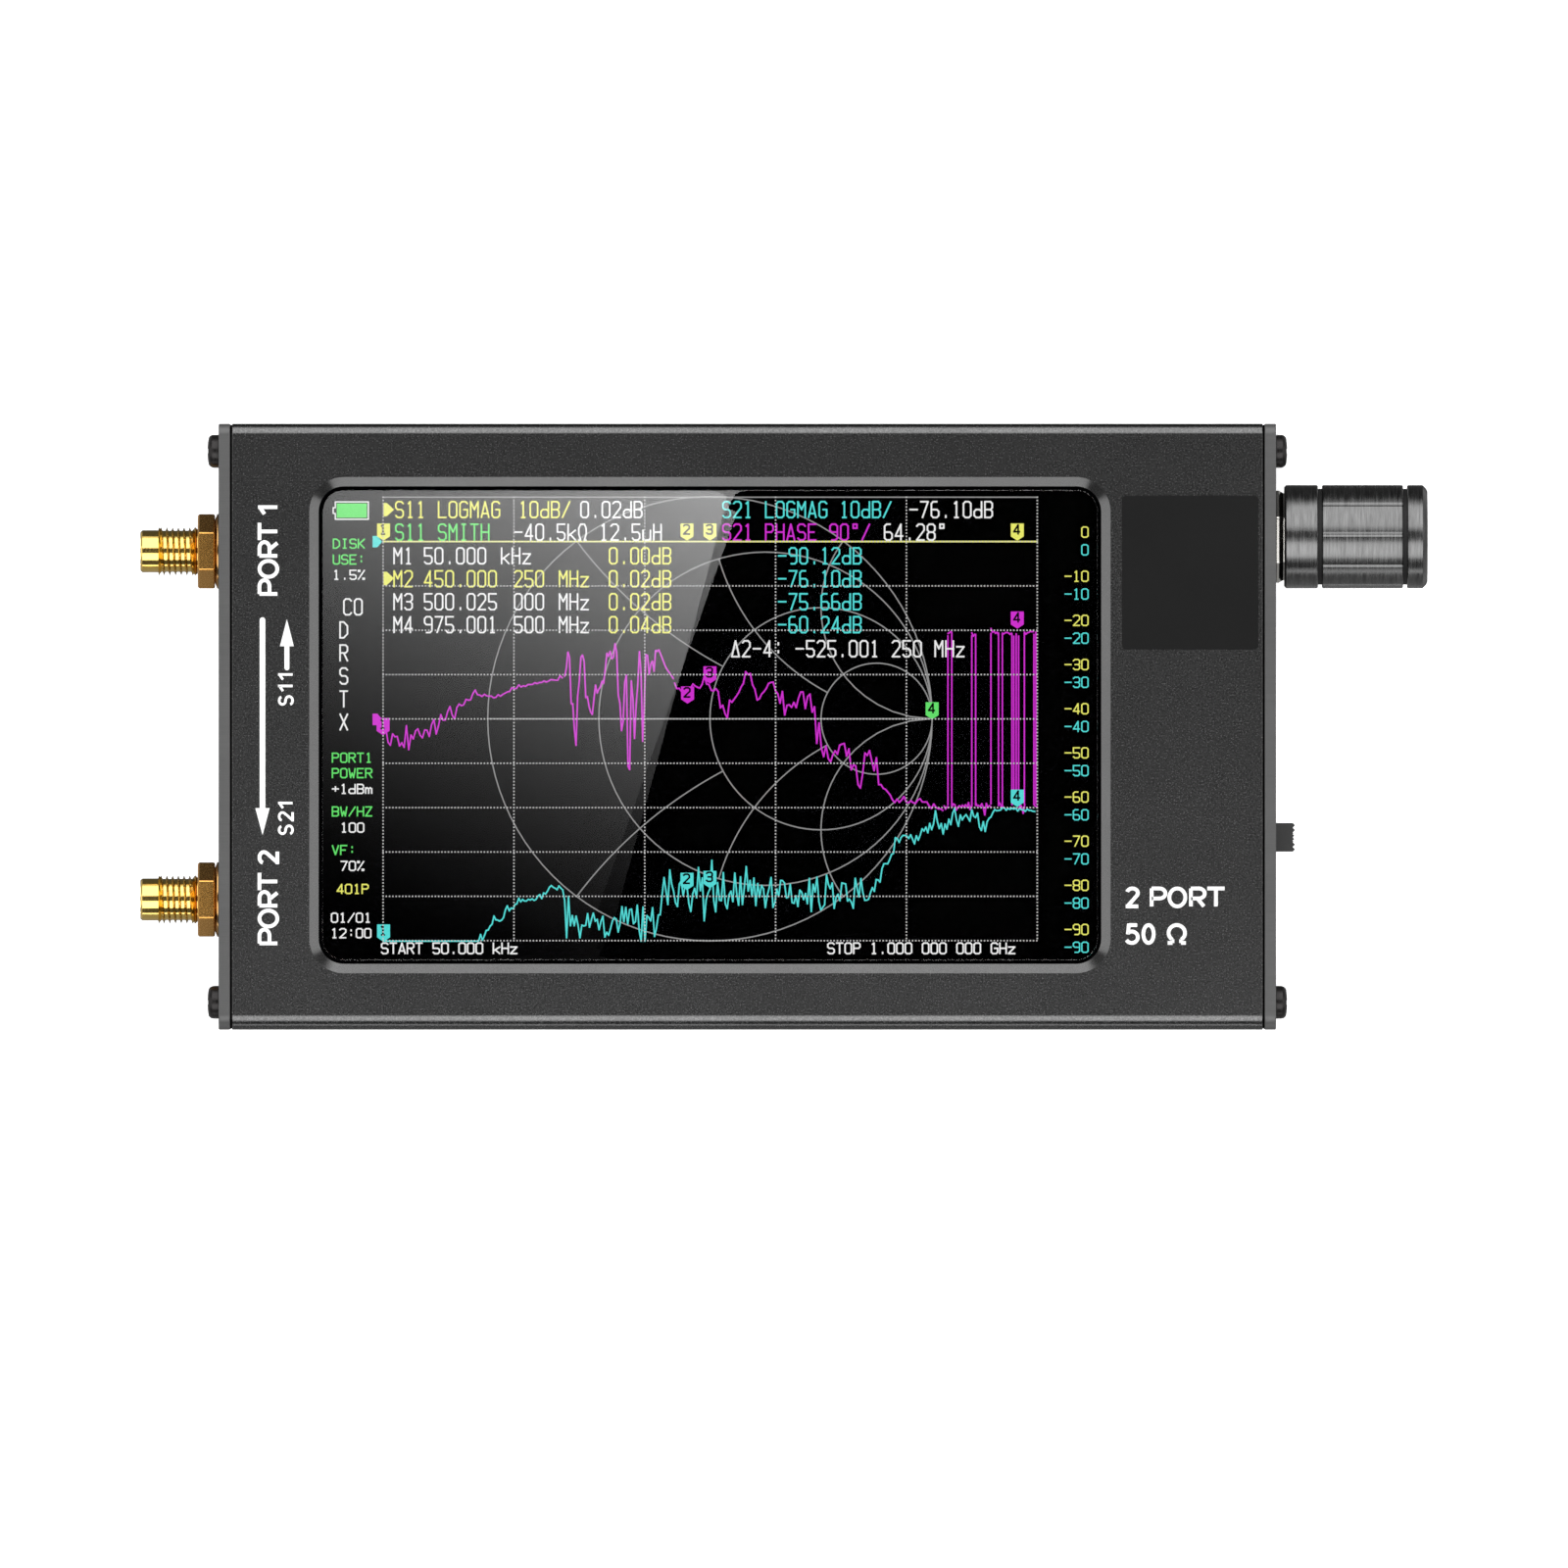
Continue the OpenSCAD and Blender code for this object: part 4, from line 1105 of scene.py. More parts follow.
@dataclass
class FrontPrint:
    """What is on the front: the blank film label, the port names, and the two signal arrows."""

    thick: float = 0.03
    sink: float = 0.02
    size: float = 2.65
    small: float = 1.95
    step: float = 0.0006
    label_corner: float = 0.5
    label_edge: float = 0.04

    def face(self) -> float:
        """Returns the height of the front."""
        return float(span("case_extrusion")[1][2])

    def words(self, shell: Shell, text: str, size: float, corner: tuple[float, float], upright: bool,
              length: float, bold: float = 0.17) -> None:
        """Adds a line of block lettering.

        Args:
            shell: what it is added to.
            text: the words.
            size: the height of its capitals.
            corner: x and y of the baseline's start.
            upright: reads along x if true, up along y if false.
            length: how long the line is; the spacing is stretched or squeezed to it.
            bold: the stroke's share of the height.
        """
        widths = [BLOCK_LETTERS[c][0] for c in text]
        gap = (length / size - sum(widths)) / (len(text) - 1)
        turn = np.eye(2) if upright else np.array([[0, 1], [-1, 0]])
        at = 0.0
        for n, (letter, width) in enumerate(zip(text, widths)):
            for m, path in enumerate(block_strokes(letter, bold)):
                lift = self.face() + self.thick + self.step * ((n + m) % 3)
                shell.bar((path + (at, 0)) * size @ turn + corner, bold * size, self.face() - self.sink, lift)
            at += width + gap

    def arrow(self, shell: Shell, x: float, tail: float, tip: float, width: float, head: float,
              long: float) -> None:
        """Adds an arrow along y: a bar with a round tail and a triangular head.

        Args:
            shell: what it is added to.
            x: where it stands.
            tail, tip: y of its two ends.
            width: of the bar.
            head, long: width and length of the head.
        """
        way = 1 if tip > tail else -1
        neck = tip - way * long
        tail_round = arc((0, 0), width / 2, 180, 360, 12) + (0, tail * way + width / 2)
        corners = np.array([(width / 2, neck * way), (head / 2, neck * way), (0, tip * way),
                            (-head / 2, neck * way), (-width / 2, neck * way)])
        loop = np.concatenate([tail_round, corners]) * (way, way) + (x, 0)
        face = self.face()
        shell.prism([loop], [(0, face - self.sink), (0, face + self.thick)])

    def label(self) -> None:
        """Makes the film label with a soft edge."""
        low, high = span("front_label")
        centre, size = (low + high) / 2, high - low
        loop = round_rect(tuple(centre[:2]), size[0], size[1], self.label_corner)
        shell = Shell().prism([loop], edge_levels(low[2], high[2], self.label_edge, 2))
        fit(polish(shell.piece("blank_label", [LABEL_FILM])), "housing", "label_film", "front_label")

    def build(self) -> None:
        """Makes the label and the printed marks."""
        self.label()
        shell = Shell()
        self.words(shell, "PORT 1", self.size, (-57.55, 16.1), False, 11.25)
        self.words(shell, "PORT 2", self.size, (-57.55, -26.85), False, 11.7)
        self.words(shell, "S11", self.small, (-55.75, 2.6), False, 4.1, 0.155)
        self.words(shell, "S21", self.small, (-55.75, -13.3), False, 4.2, 0.155)
        self.arrow(shell, -59.6, 13.45, -13.3, 0.68, 1.75, 3.3)
        self.arrow(shell, -56.6, 6.95, 13.2, 0.6, 1.7, 3.3)
        self.words(shell, "2 PORT", self.size, (46.5, -22.3), True, 12.2)
        self.words(shell, "50 @", self.size, (46.5, -26.8), True, 7.6)
        fit(shell.piece("front_print", [WHITE_INK]), "housing", "label_film")


# ---------------------------------------------------------------- display


class Ink(Enum):
    """The display's colours: how each shows, and its order of height under the glass."""

    GREY = (tone(150), 0)
    MAGENTA = (tone(214, 52, 214), 1)
    CYAN = (tone(88, 226, 222), 2)
    GREEN = (tone(104, 232, 112), 3)
    YELLOW = (tone(240, 240, 112), 4)
    WHITE = (tone(244), 5)
    SHADE = (tone(10), 6)
    DOTS = (tone(205), 7)

    def finish(self) -> Finish:
        """Returns the lit finish of this colour."""
        return Finish("ink_" + self.name.lower(), tone(4), 0.0, 0.5, Pattern.CELLS, 0.1175, 0.05, 0.02, 0.0,
                      0.0, glow=self.value[0], blotch=0.0)


@dataclass
class Screen:
    """The picture on the display: an 800 by 480 field of lit lines just under the glass."""

    wide: int = 800
    high: int = 480
    dot: float = 0.1175
    lift: float = 0.004
    thick: float = 0.006
    layer: float = 0.0075
    hair: float = 1.3
    trace: float = 1.5
    left: float = 58.0
    right: float = 742.5
    top: float = 1.5
    row: float = 46.4
    smith: tuple[float, float, float] = (400.0, 233.3, 232.5)
    shells: dict[Ink, Shell] = field(default_factory=dict)

    def __post_init__(self) -> None:
        """Starts one shell for each colour and seeds the noise."""
        self.shells = {ink: Shell() for ink in Ink}
        self.random = np.random.default_rng(SEED)
        low, high = span("cover_glass")
        self.centre = (low + high)[:2] / 2
        self.floor = float(low[2])

    def level(self, ink: Ink) -> float:
        """Returns the height of the underside of a colour."""
        return self.floor + self.lift + self.layer * ink.value[1]

    def spot(self, points: Array) -> Array:
        """Turns display positions, y down, into millimetres on the object."""
        p = np.asarray(points, float)
        return self.centre + (p - (self.wide / 2, self.high / 2)) * (self.dot, -self.dot)

    def boxes(self, ink: Ink, corners: Array) -> None:
        """Adds thin closed boxes, all as one array.

        Args:
            ink: their colour.
            corners: n by 4 by 2 anticlockwise corners, in millimetres.
        """
        flat = np.concatenate([corners, corners], 1)
        low = self.level(ink)
        z = np.broadcast_to([low] * 4 + [low + self.thick] * 4, flat.shape[:2])
        points = np.concatenate([flat, z[..., None]], -1).reshape(-1, 3)
        box = np.array([(3, 2, 1, 0), (4, 5, 6, 7), (0, 1, 5, 4), (1, 2, 6, 5), (2, 3, 7, 6), (3, 0, 4, 7)])
        faces = (np.arange(len(corners))[:, None, None] * 8 + box).reshape(-1, 4)
        self.shells[ink].add(points, faces)

    def line(self, ink: Ink, points: Array, width: float) -> None:
        """Adds a line as a bar for each step, from p - t e to q + t e, half a width to both sides.

        Args:
            ink: its colour.
            points: what it runs through; t is the unit step from p to q, and e is 0.35 of the width.
            width: in display dots.
        """
        p = self.spot(points)
        t = np.diff(p, axis=0)
        t /= np.maximum(np.linalg.norm(t, axis=1, keepdims=True), 1e-9)
        half = width * self.dot / 2
        side, reach = np.stack([-t[:, 1], t[:, 0]], -1) * half, t * half * 0.7
        a, b = p[:-1] - reach, p[1:] + reach
        self.boxes(ink, np.stack([a - side, b - side, b + side, a + side], 1))

    def dots(self, ink: Ink, centres: Array, size: float) -> None:
        """Adds a small square dot at each centre.

        Args:
            ink: their colour.
            centres: in display dots.
            size: in display dots.
        """
        half = size * self.dot / 2
        square = np.array([(-half, -half), (half, -half), (half, half), (-half, half)])
        self.boxes(ink, self.spot(centres)[:, None, :] + square)

    def fill(self, ink: Ink, outline: Sequence[tuple[float, float]]) -> None:
        """Adds a filled shape.

        Args:
            ink: its colour.
            outline: its corners in display dots.
        """
        low = self.level(ink)
        loop = self.spot(outline)
        x, y = loop[:, 0], loop[:, 1]
        if np.sum(x * np.roll(y, -1) - y * np.roll(x, -1)) < 0:
            loop = loop[::-1]
        self.shells[ink].prism([loop], [(0, low), (0, low + self.thick)])

    def text(self, ink: Ink, words: str, x: float, top: float, style: Lettering = LARGE) -> None:
        """Adds a line of figures whose tops are at top."""
        for stroke in style.strokes(words, x, top):
            self.line(ink, stroke, style.stroke)

    def graph_paper(self) -> None:
        """Draws the dotted grid and its two solid lines."""
        pitch = 3.42
        xs = np.arange(self.left, self.right, pitch)
        ys = np.arange(self.top, self.top + 10 * self.row, pitch)
        columns = self.left + np.arange(6) * (self.right - self.left) / 5
        rows = self.top + np.arange(1, 11) * self.row
        across = np.stack(np.meshgrid(xs, rows), -1).reshape(-1, 2)
        down = np.stack(np.meshgrid(columns, ys), -1).reshape(-1, 2)
        self.dots(Ink.DOTS, np.concatenate([across, down]), 1.45)
        self.line(Ink.GREY, [(self.left, self.top), (self.right, self.top)], self.hair)
        x, y, r = self.smith
        self.line(Ink.GREY, [(x - r, y), (x + r, y)], self.hair)

    def smith_arc(self, resistance: Array, reactance: Array) -> None:
        """Draws a line of the impedance chart: g = (z - 1) / (z + 1) for z = resistance + i reactance.

        Args:
            resistance, reactance: the two parts of z.
        """
        z = resistance + 1j * reactance
        g = (z - 1) / (z + 1)
        x, y, r = self.smith
        self.line(Ink.GREY, np.stack([x + r * g.real, y - r * g.imag], -1), self.hair)

    def smith_chart(self) -> None:
        """Draws the circles of constant resistance and the arcs of constant reactance."""
        sweep = np.tan(np.linspace(-1.5688, 1.5688, 97))
        for resistance, scale in ((0.0, 1.0), (1 / 3, 4 / 3), (1.0, 2.0), (3.0, 4.0)):
            self.smith_arc(resistance + 0 * sweep, sweep * scale)
        for reactance, start, stop in ((0.5, 0.0, 1.0), (1.0, 1 / 3, 3.0), (2.0, 0.0, 400.0)):
            low, high = math.atan(start), math.atan(stop)
            resistance = np.tan(np.linspace(low, high, 33))
            for side in (-1, 1):
                self.smith_arc(resistance, side * reactance + 0 * resistance)

    def tag(self, ink: Ink, figure: str, x: float, tip: float) -> None:
        """Draws a marker shield that points down, with its figure.

        Args:
            ink: its colour.
            figure: what it says.
            x, tip: where its tip is.
        """
        half, back, neck = 6.8, tip - 17.5, tip - 4
        left, right = x - half, x + half
        self.fill(ink, [(left, back), (right, back), (right, neck), (x, tip + 0.5), (left, neck)])
        self.text(Ink.SHADE, figure, x - 3.6, tip - 16, TAG)

    def wander(self, anchors: Sequence[tuple[float, float]], rough: Sequence[tuple[float, float, float]],
               step: float) -> Array:
        """Runs a line through anchors with seeded noise.

        Args:
            anchors: (x, y) points that the line follows.
            rough: (from x, to x, size) stretches of noise.
            step: spacing of the points.

        Returns:
            The points.
        """
        known = np.array(anchors, float)
        x = np.arange(known[0, 0], known[-1, 0], step)
        y = np.interp(x, known[:, 0], known[:, 1])
        for start, stop, size in rough:
            inside = (x >= start) & (x < stop)
            y[inside] += self.random.normal(0, size, int(inside.sum()))
        return np.stack([x, y], -1)

    def traces(self) -> None:
        """Draws the three measured lines."""
        self.line(Ink.YELLOW, [(self.left, 47.9), (self.right, 47.9)], 1.7)
        phase = [(56, 234), (66, 252), (78, 259), (92, 247), (117, 246), (138, 220), (154, 206), (172, 212),
                 (196, 201), (219, 196), (248, 189)]
        rough = [(60, 136, 8), (136, 160, 3.5), (160, 250, 1.3)]
        self.line(Ink.MAGENTA, self.wander(phase, rough, 2.4), self.trace)
        burst = [(248, 189), (252, 160), (256, 226), (260, 250), (263, 200), (268, 152), (272, 230),
                 (280, 205), (288, 200), (292, 165), (297, 178), (300, 148), (304, 196), (309, 240),
                 (312, 176), (315, 300), (318, 190), (321, 250), (324, 210), (327, 150), (330, 262),
                 (333, 158), (338, 196), (345, 157), (354, 180), (363, 193)]
        self.line(Ink.MAGENTA, self.wander(burst, [(249, 345, 9)], 1.7), 1.6)
        middle = [(363, 193), (376, 205), (400, 196), (418, 222), (441, 186), (449, 211), (465, 195),
                  (481, 227), (502, 209), (521, 275), (539, 256), (555, 299), (565, 264), (576, 301),
                  (587, 315), (605, 320), (626, 321), (645, 327)]
        rough = [(363, 470, 5), (470, 575, 9), (575, 645, 2.5)]
        self.line(Ink.MAGENTA, self.wander(middle, rough, 2.4), 1.6)
        for x in (649, 653, 674, 678, 694, 702, 706, 716, 718, 720.5, 723, 729, 739, 741):
            ends = [(x, 142 + 5 * self.random.random()), (x, 322 + 3 * self.random.random())]
            self.line(Ink.MAGENTA, ends, self.trace)
        for start, stop in ((645, 650), (653, 675), (678, 695), (702, 707), (723, 730), (739, 743)):
            low = self.wander([(start, 325), (stop, 325)], [(start, stop, 2.5)], 1.6)
            self.line(Ink.MAGENTA, low, self.trace)
        for start, stop in ((649, 653.5), (674, 678.5), (694, 702.5), (706, 716.5), (729, 739.5)):
            high = self.wander([(start, 143), (stop, 143)], [(start, stop, 1.5)], 1.6)
            self.line(Ink.MAGENTA, high, self.trace)
        level = [(58, 466), (160, 466), (169, 450), (185, 437), (201, 424), (219, 421), (235, 409),
                 (247, 413), (250, 445), (347, 447), (350, 421), (360, 412), (400, 414), (560, 418),
                 (568, 415), (584, 385), (597, 362), (613, 358), (629, 349), (637, 336), (645, 352),
                 (655, 338), (676, 333), (687, 346), (698, 328), (719, 328), (742, 330)]
        rough = [(160, 248, 2.5), (249, 347, 11), (350, 560, 13), (560, 600, 6), (600, 690, 4), (690, 742, 1)]
        found = self.wander(level, rough, 2.0)
        found[:, 1] = np.minimum(found[:, 1], 466)
        self.line(Ink.CYAN, found, self.trace)

    def markers(self) -> None:
        """Draws the marker shields and the small arrows beside the grid."""
        for x, figure in ((58.5, "1"), (376, "2"), (400, "3"), (721.6, "4")):
            self.tag(Ink.YELLOW, figure, x, 46.5)
        for figure, x, y in (("1", 58, 250), ("2", 376.6, 217), ("3", 400, 196), ("4", 721.6, 138.6)):
            self.tag(Ink.MAGENTA, figure, x, y)
        for figure, x, y in (("1", 58.5, 466), ("2", 376, 412), ("3", 400, 410), ("4", 721.6, 325)):
            self.tag(Ink.CYAN, figure, x, y)
        self.tag(Ink.GREEN, "4", 632.5, 233.5)
        for ink, y in ((Ink.CYAN, 48), (Ink.MAGENTA, 234)):
            self.fill(ink, [(47, y - 6), (52, y - 6), (57, y), (52, y + 6), (47, y + 6)])
        for y in (14.5, 86.5):
            self.fill(Ink.YELLOW, [(58.5, y - 7), (62, y - 7), (69.5, y), (62, y + 7), (58.5, y + 7)])

    def readouts(self) -> None:
        """Writes the rows of figures over the grid."""
        t = self.text
        t(Ink.YELLOW, "S11 LOGMAG", 71.3, 6.2)
        t(Ink.YELLOW, "10dB/", 200.8, 6.2)
        t(Ink.WHITE, "0.02dB", 265, 6.2)
        t(Ink.CYAN, "S21 LOGMAG 10dB/", 413.6, 6.2)
        t(Ink.WHITE, "-76.10dB", 609.3, 6.2)
        t(Ink.GREEN, "S11 SMITH", 71.3, 29.8)
        t(Ink.WHITE, "-40.5k@ 12.5uH", 195.6, 29.8)
        t(Ink.MAGENTA, "S21 PHASE 90*/", 413.6, 29.8)
        t(Ink.WHITE, "64.28*", 582.8, 29.8)
        rows = (("M1", "50.000", "", "kHz", "0.00dB", "-90.12dB"),
                ("M2", "450.000", "250", "MHz", "0.02dB", "-76.10dB"),
                ("M3", "500.025", "000", "MHz", "0.02dB", "-75.66dB"),
                ("M4", "975.001", "500", "MHz", "0.04dB", "-60.24dB"))
        for n, (name, mega, kilo, unit, first, second) in enumerate(rows):
            y = 54.6 + 24.0 * n
            ink = Ink.YELLOW if n == 1 else Ink.WHITE
            t(ink, name, 69.5, y)
            t(ink, mega, 101.4, y)
            t(ink, kilo, 195.6, y)
            t(ink, unit, 182 if not kilo else 242.6, y)
            t(Ink.YELLOW, first, 295, y)
            t(Ink.CYAN, second, 471.8, y)
        t(Ink.WHITE, "^2-4: -525.001 250 MHz", 422.9, 151.8)
        bottom = Lettering(9.0, 6.6, 11, 1.6)
        t(Ink.WHITE, "START 50.000 kHz", 56.4, 468, bottom)
        t(Ink.WHITE, "STOP 1.000 000 000 GHz", 523.4, 468, bottom)

    def side_columns(self) -> None:
        """Writes the status column on the left and the axis figures on the right."""
        g, w, y = Ink.GREEN, Ink.WHITE, Ink.YELLOW
        rows = ((g, "DISK", 6, 45.4), (g, "USE:", 6, 62), (w, "1.5%", 6, 78), (g, "PORT1", 5, 269.4),
                (g, "POWER", 5, 285.5), (w, "+1dBm", 5, 302), (g, "BW/HZ", 5, 325.6), (w, "100", 14, 342.5),
                (g, "VF:", 5, 366), (w, "70%", 14, 382.6), (y, "401P", 10, 406.7), (w, "01/01", 4, 436.8),
                (w, "12:00", 4, 453))
        for ink, words, x, top in rows:
            self.text(ink, words, x, top, SMALL)
        for n, letter in enumerate(("C0", "D", "R", "S", "T", "X")):
            self.text(w, letter, 13 if n else 17, 108 + 24.1 * n)
        right = 795.6
        for n in range(10):
            for ink, first in ((y, 38), (Ink.CYAN, 56.6)):
                words = str(-10 * n)
                x = right - len(words) * AXIS.advance + AXIS.advance - AXIS.width
                self.text(ink, words, x, first + 46.2 * n - AXIS.height / 2, AXIS)
        self.fill(g, [(9.5, 8), (41, 8), (41, 23), (9.5, 23)])
        self.line(w, [(8, 6.4), (42.6, 6.4), (42.6, 24.6), (8, 24.6), (8, 18.5), (5.8, 18.5), (5.8, 12.5),
                      (8, 12.5), (8, 6.4)], self.hair)

    def build(self) -> None:
        """Draws everything and makes one piece for each colour."""
        for draw in (self.graph_paper, self.smith_chart, self.traces, self.readouts, self.side_columns,
                     self.markers):
            draw()
        for ink, shell in self.shells.items():
            piece = shell.piece("screen_" + ink.name.lower(), [ink.finish()], merge=False)
            fit(piece, "housing", "panel")


@dataclass
class Display:
    """The cover glass over the black face of the display."""

    edge: float = 0.06
    corner: float = 2.65
    air: float = 0.07
    face_edge: float = 0.02
    face_corner: float = 0.5

    def build(self) -> None:
        """Makes the glass slab, which ends just over the lit lines, and the black face under them."""
        low, high = span("cover_glass")
        centre, size = (low + high) / 2, high - low
        loop = round_rect(tuple(centre[:2]), size[0], size[1], self.corner, 12)
        levels = edge_levels(low[2] + self.air, high[2], self.edge, 3)
        slab = Shell().prism([loop], levels).piece("cover_glass_slab", [GLASS])
        fit(polish(slab), "housing", "cover_glass", "cover_glass")
        stack_low, stack_high = span("lcd_panel")
        flat, wide = (stack_low + stack_high) / 2, stack_high - stack_low
        loop = round_rect(tuple(flat[:2]), wide[0], wide[1], self.face_corner, 4)
        shell = Shell().prism([loop], edge_levels(stack_low[2], stack_high[2], self.face_edge, 2), wall=1)
        black = shell.piece("display_face", [DISPLAY_BLACK, PANEL_STACK])
        fit(polish(black), "housing", "panel", "lcd_panel")


# ---------------------------------------------------------------- ports


@dataclass
class Port:
    """A threaded gold jack with its nut, lock washer, insulator and centre contact."""

    number: int
    block: float = 6.35
    block_depth: float = 4.0
    leg: float = 1.0
    leg_length: float = 4.0
    neck: float = 2.7
    crest: float = 2.98
    root: float = 2.55
    pitch: float = 0.7056
    nose: float = 2.6
    nose_length: float = 2.2
    socket: float = 2.3
    socket_depth: float = 1.9
    insulator: float = 2.05
    contact: float = 0.635
    bore: float = 0.465
    bore_depth: float = 3.0
    gap: float = 0.02
    lead: float = 0.25
    nut_flats: float = 8.0
    nut_corner: float = 0.3
    plate_hole: float = 3.18

    def name(self, part: str) -> str:
        """Returns the name of one of this port's CAD nodes."""
        return f"port_{self.number}_{part}"

    def place(self) -> Place:
        """Finds the port's axis.

        Returns:
            The axis, from the inside face of the plate outwards.
        """
        low, high = span(self.name("insulator"))
        inside = span("left_end_plate")[1][0]
        return Place((inside, (low[1] + high[1]) / 2, (low[2] + high[2]) / 2), Facing.LEFT)

    def reach(self, part: str) -> tuple[float, float]:
        """Measures a node along the axis.

        Args:
            part: the node's name without the port's.

        Returns:
            How far out it starts and ends.
        """
        low, high = span(self.name(part))
        inside = self.place().origin[0]
        return inside - high[0], inside - low[0]

    def jack(self) -> None:
        """Makes the barrel with its cut thread, the square block and the four legs."""
        end = self.reach("jack")[1]
        nose_at = end - self.nose_length
        thread_at = self.reach("nut")[1] + 0.06
        lead = self.lead
        thread = Thread(self.pitch, self.crest - self.root, thread_at + lead, nose_at - 0.05, 0.03, 0.2)
        rows = thread.rows(22)
        hole = self.insulator + self.gap
        seat = end - self.socket_depth
        start = [(-self.block_depth, hole), (-self.block_depth, self.neck), (thread_at, self.neck),
                 (thread_at, self.crest - lead), (thread_at + lead, self.crest)]
        wall = np.column_stack([rows, np.full(len(rows), self.crest)])
        tip = [(nose_at, self.crest - 0.28), (nose_at, self.nose), (end - lead, self.nose),
               (end - 0.06, self.nose - 0.17), (end, self.socket + 0.12), (end - 0.1, self.socket),
               (seat, self.socket), (seat, hole)]
        profile = np.concatenate([start, wall, tip])
        place = self.place()
        shell = Shell().turned(profile, place, 120, relief=thread.relief)
        square = round_rect((0, 0), self.block, self.block, 0.2, 4)
        shell.prism([square, circle((0, 0), hole, 48)[::-1]], edge_levels(-self.block_depth, 0, 0.12), place)
        board_low, board_high = (corner[2] - place.origin[2] for corner in span("main_board"))
        foot, root = -self.block_depth - self.leg_length, -self.block_depth + 0.1
        for u in (board_high, board_low - self.leg):
            for v in (-self.block / 2, self.block / 2 - self.leg):
                shell.block((u, v, foot), (u + self.leg, v + self.leg, root), place, 0.08)
        jack = shell.piece(self.name("jack") + "_turned", [GOLD])
        fit(polish(jack, 28), "housing", "gold_plate", self.name("jack"))

    def nut(self) -> None:
        """Makes the nut round its threaded hole."""
        start, stop = self.reach("nut")
        levels = [(0.15, start), (0.0, start + 0.15), (0.0, stop - 0.2), (0.2, stop)]
        shell = hex_nut(levels, self.nut_flats, self.nut_corner, self.neck + self.gap, self.place(), 30)
        nut = shell.piece(self.name("nut") + "_chamfered", [GOLD_NUT])
        fit(polish(nut, 20), "housing", "gold_plate", self.name("nut"))

    def washer(self) -> None:
        """Makes the dished lock washer, with a bright rim next to the plate."""
        start, stop = self.reach("washer")
        profile = [(start, 3.2), (start, 4.5), (start + 0.06, 4.6), (start + 0.24, 4.6), (start + 0.3, 4.45),
                   (stop - 0.02, 3.95), (stop, 3.9), (stop, 3.2)]
        shell = Shell().turned(soften(profile, 0.03), self.place(), 120)
        washer = shell.piece(self.name("washer") + "_dished", [DARK_SPRING])
        fit(polish(washer), "housing", "dark_spring", self.name("washer"))

    def core(self) -> None:
        """Makes the insulator and the hollow centre contact."""
        place = self.place()
        start, stop = self.reach("insulator")
        hole = self.contact + self.gap
        ring = soften([(start, hole), (start, self.insulator), (stop, self.insulator), (stop, hole)], 0.08)
        insulator = Shell().turned(ring, place, 72).piece(self.name("insulator") + "_turned", [PTFE])
        fit(polish(insulator), "housing", "ptfe", self.name("insulator"))
        start, stop = self.reach("contact")
        deep = stop - self.bore_depth
        profile = [(deep, 0.0), (deep, self.bore), (stop - 0.08, self.bore), (stop, self.bore + 0.06),
                   (stop, self.contact - 0.05), (stop - 0.06, self.contact), (start, self.contact),
                   (start, 0.0)]
        shell = Shell().turned(np.array(profile)[::-1], place, 40, closed=False)
        contact = shell.piece(self.name("contact") + "_slotted", [GOLD])
        fit(polish(contact), "housing", "gold_plate", self.name("contact"))

    def build(self) -> None:
        """Makes the whole port."""
        self.jack()
        self.nut()
        self.washer()
        self.core()


def hex_nut(levels: Sequence[tuple[float, float]], flats: float, corner: float, hole: float, place: Place,
            first: float) -> Shell:
    """Makes a nut: a hexagon with rounded corners, drawn in at both faces, round a hole.

    Args:
        levels: how far in the outline is, and how far along the axis, from one face to the other.
        flats: width across the flats.
        corner: radius of the six corners.
        hole: radius of the hole.
        place: the axis.
        first: the angle of the first corner in degrees.

    Returns:
        The shell.
    """
    out = (flats / 2 - corner) / math.cos(math.pi / 6)
    turns = first + 60.0 * np.arange(6)
    middles = out * np.stack([np.cos(np.radians(turns)), np.sin(np.radians(turns))], -1)
    loop = np.concatenate([arc(tuple(m), corner, t - 30, t + 30, 7) for m, t in zip(middles, turns)])
    return Shell().prism([loop, circle((0, 0), hole, 48)[::-1]], levels, place)


# ---------------------------------------------------------------- knob and switch


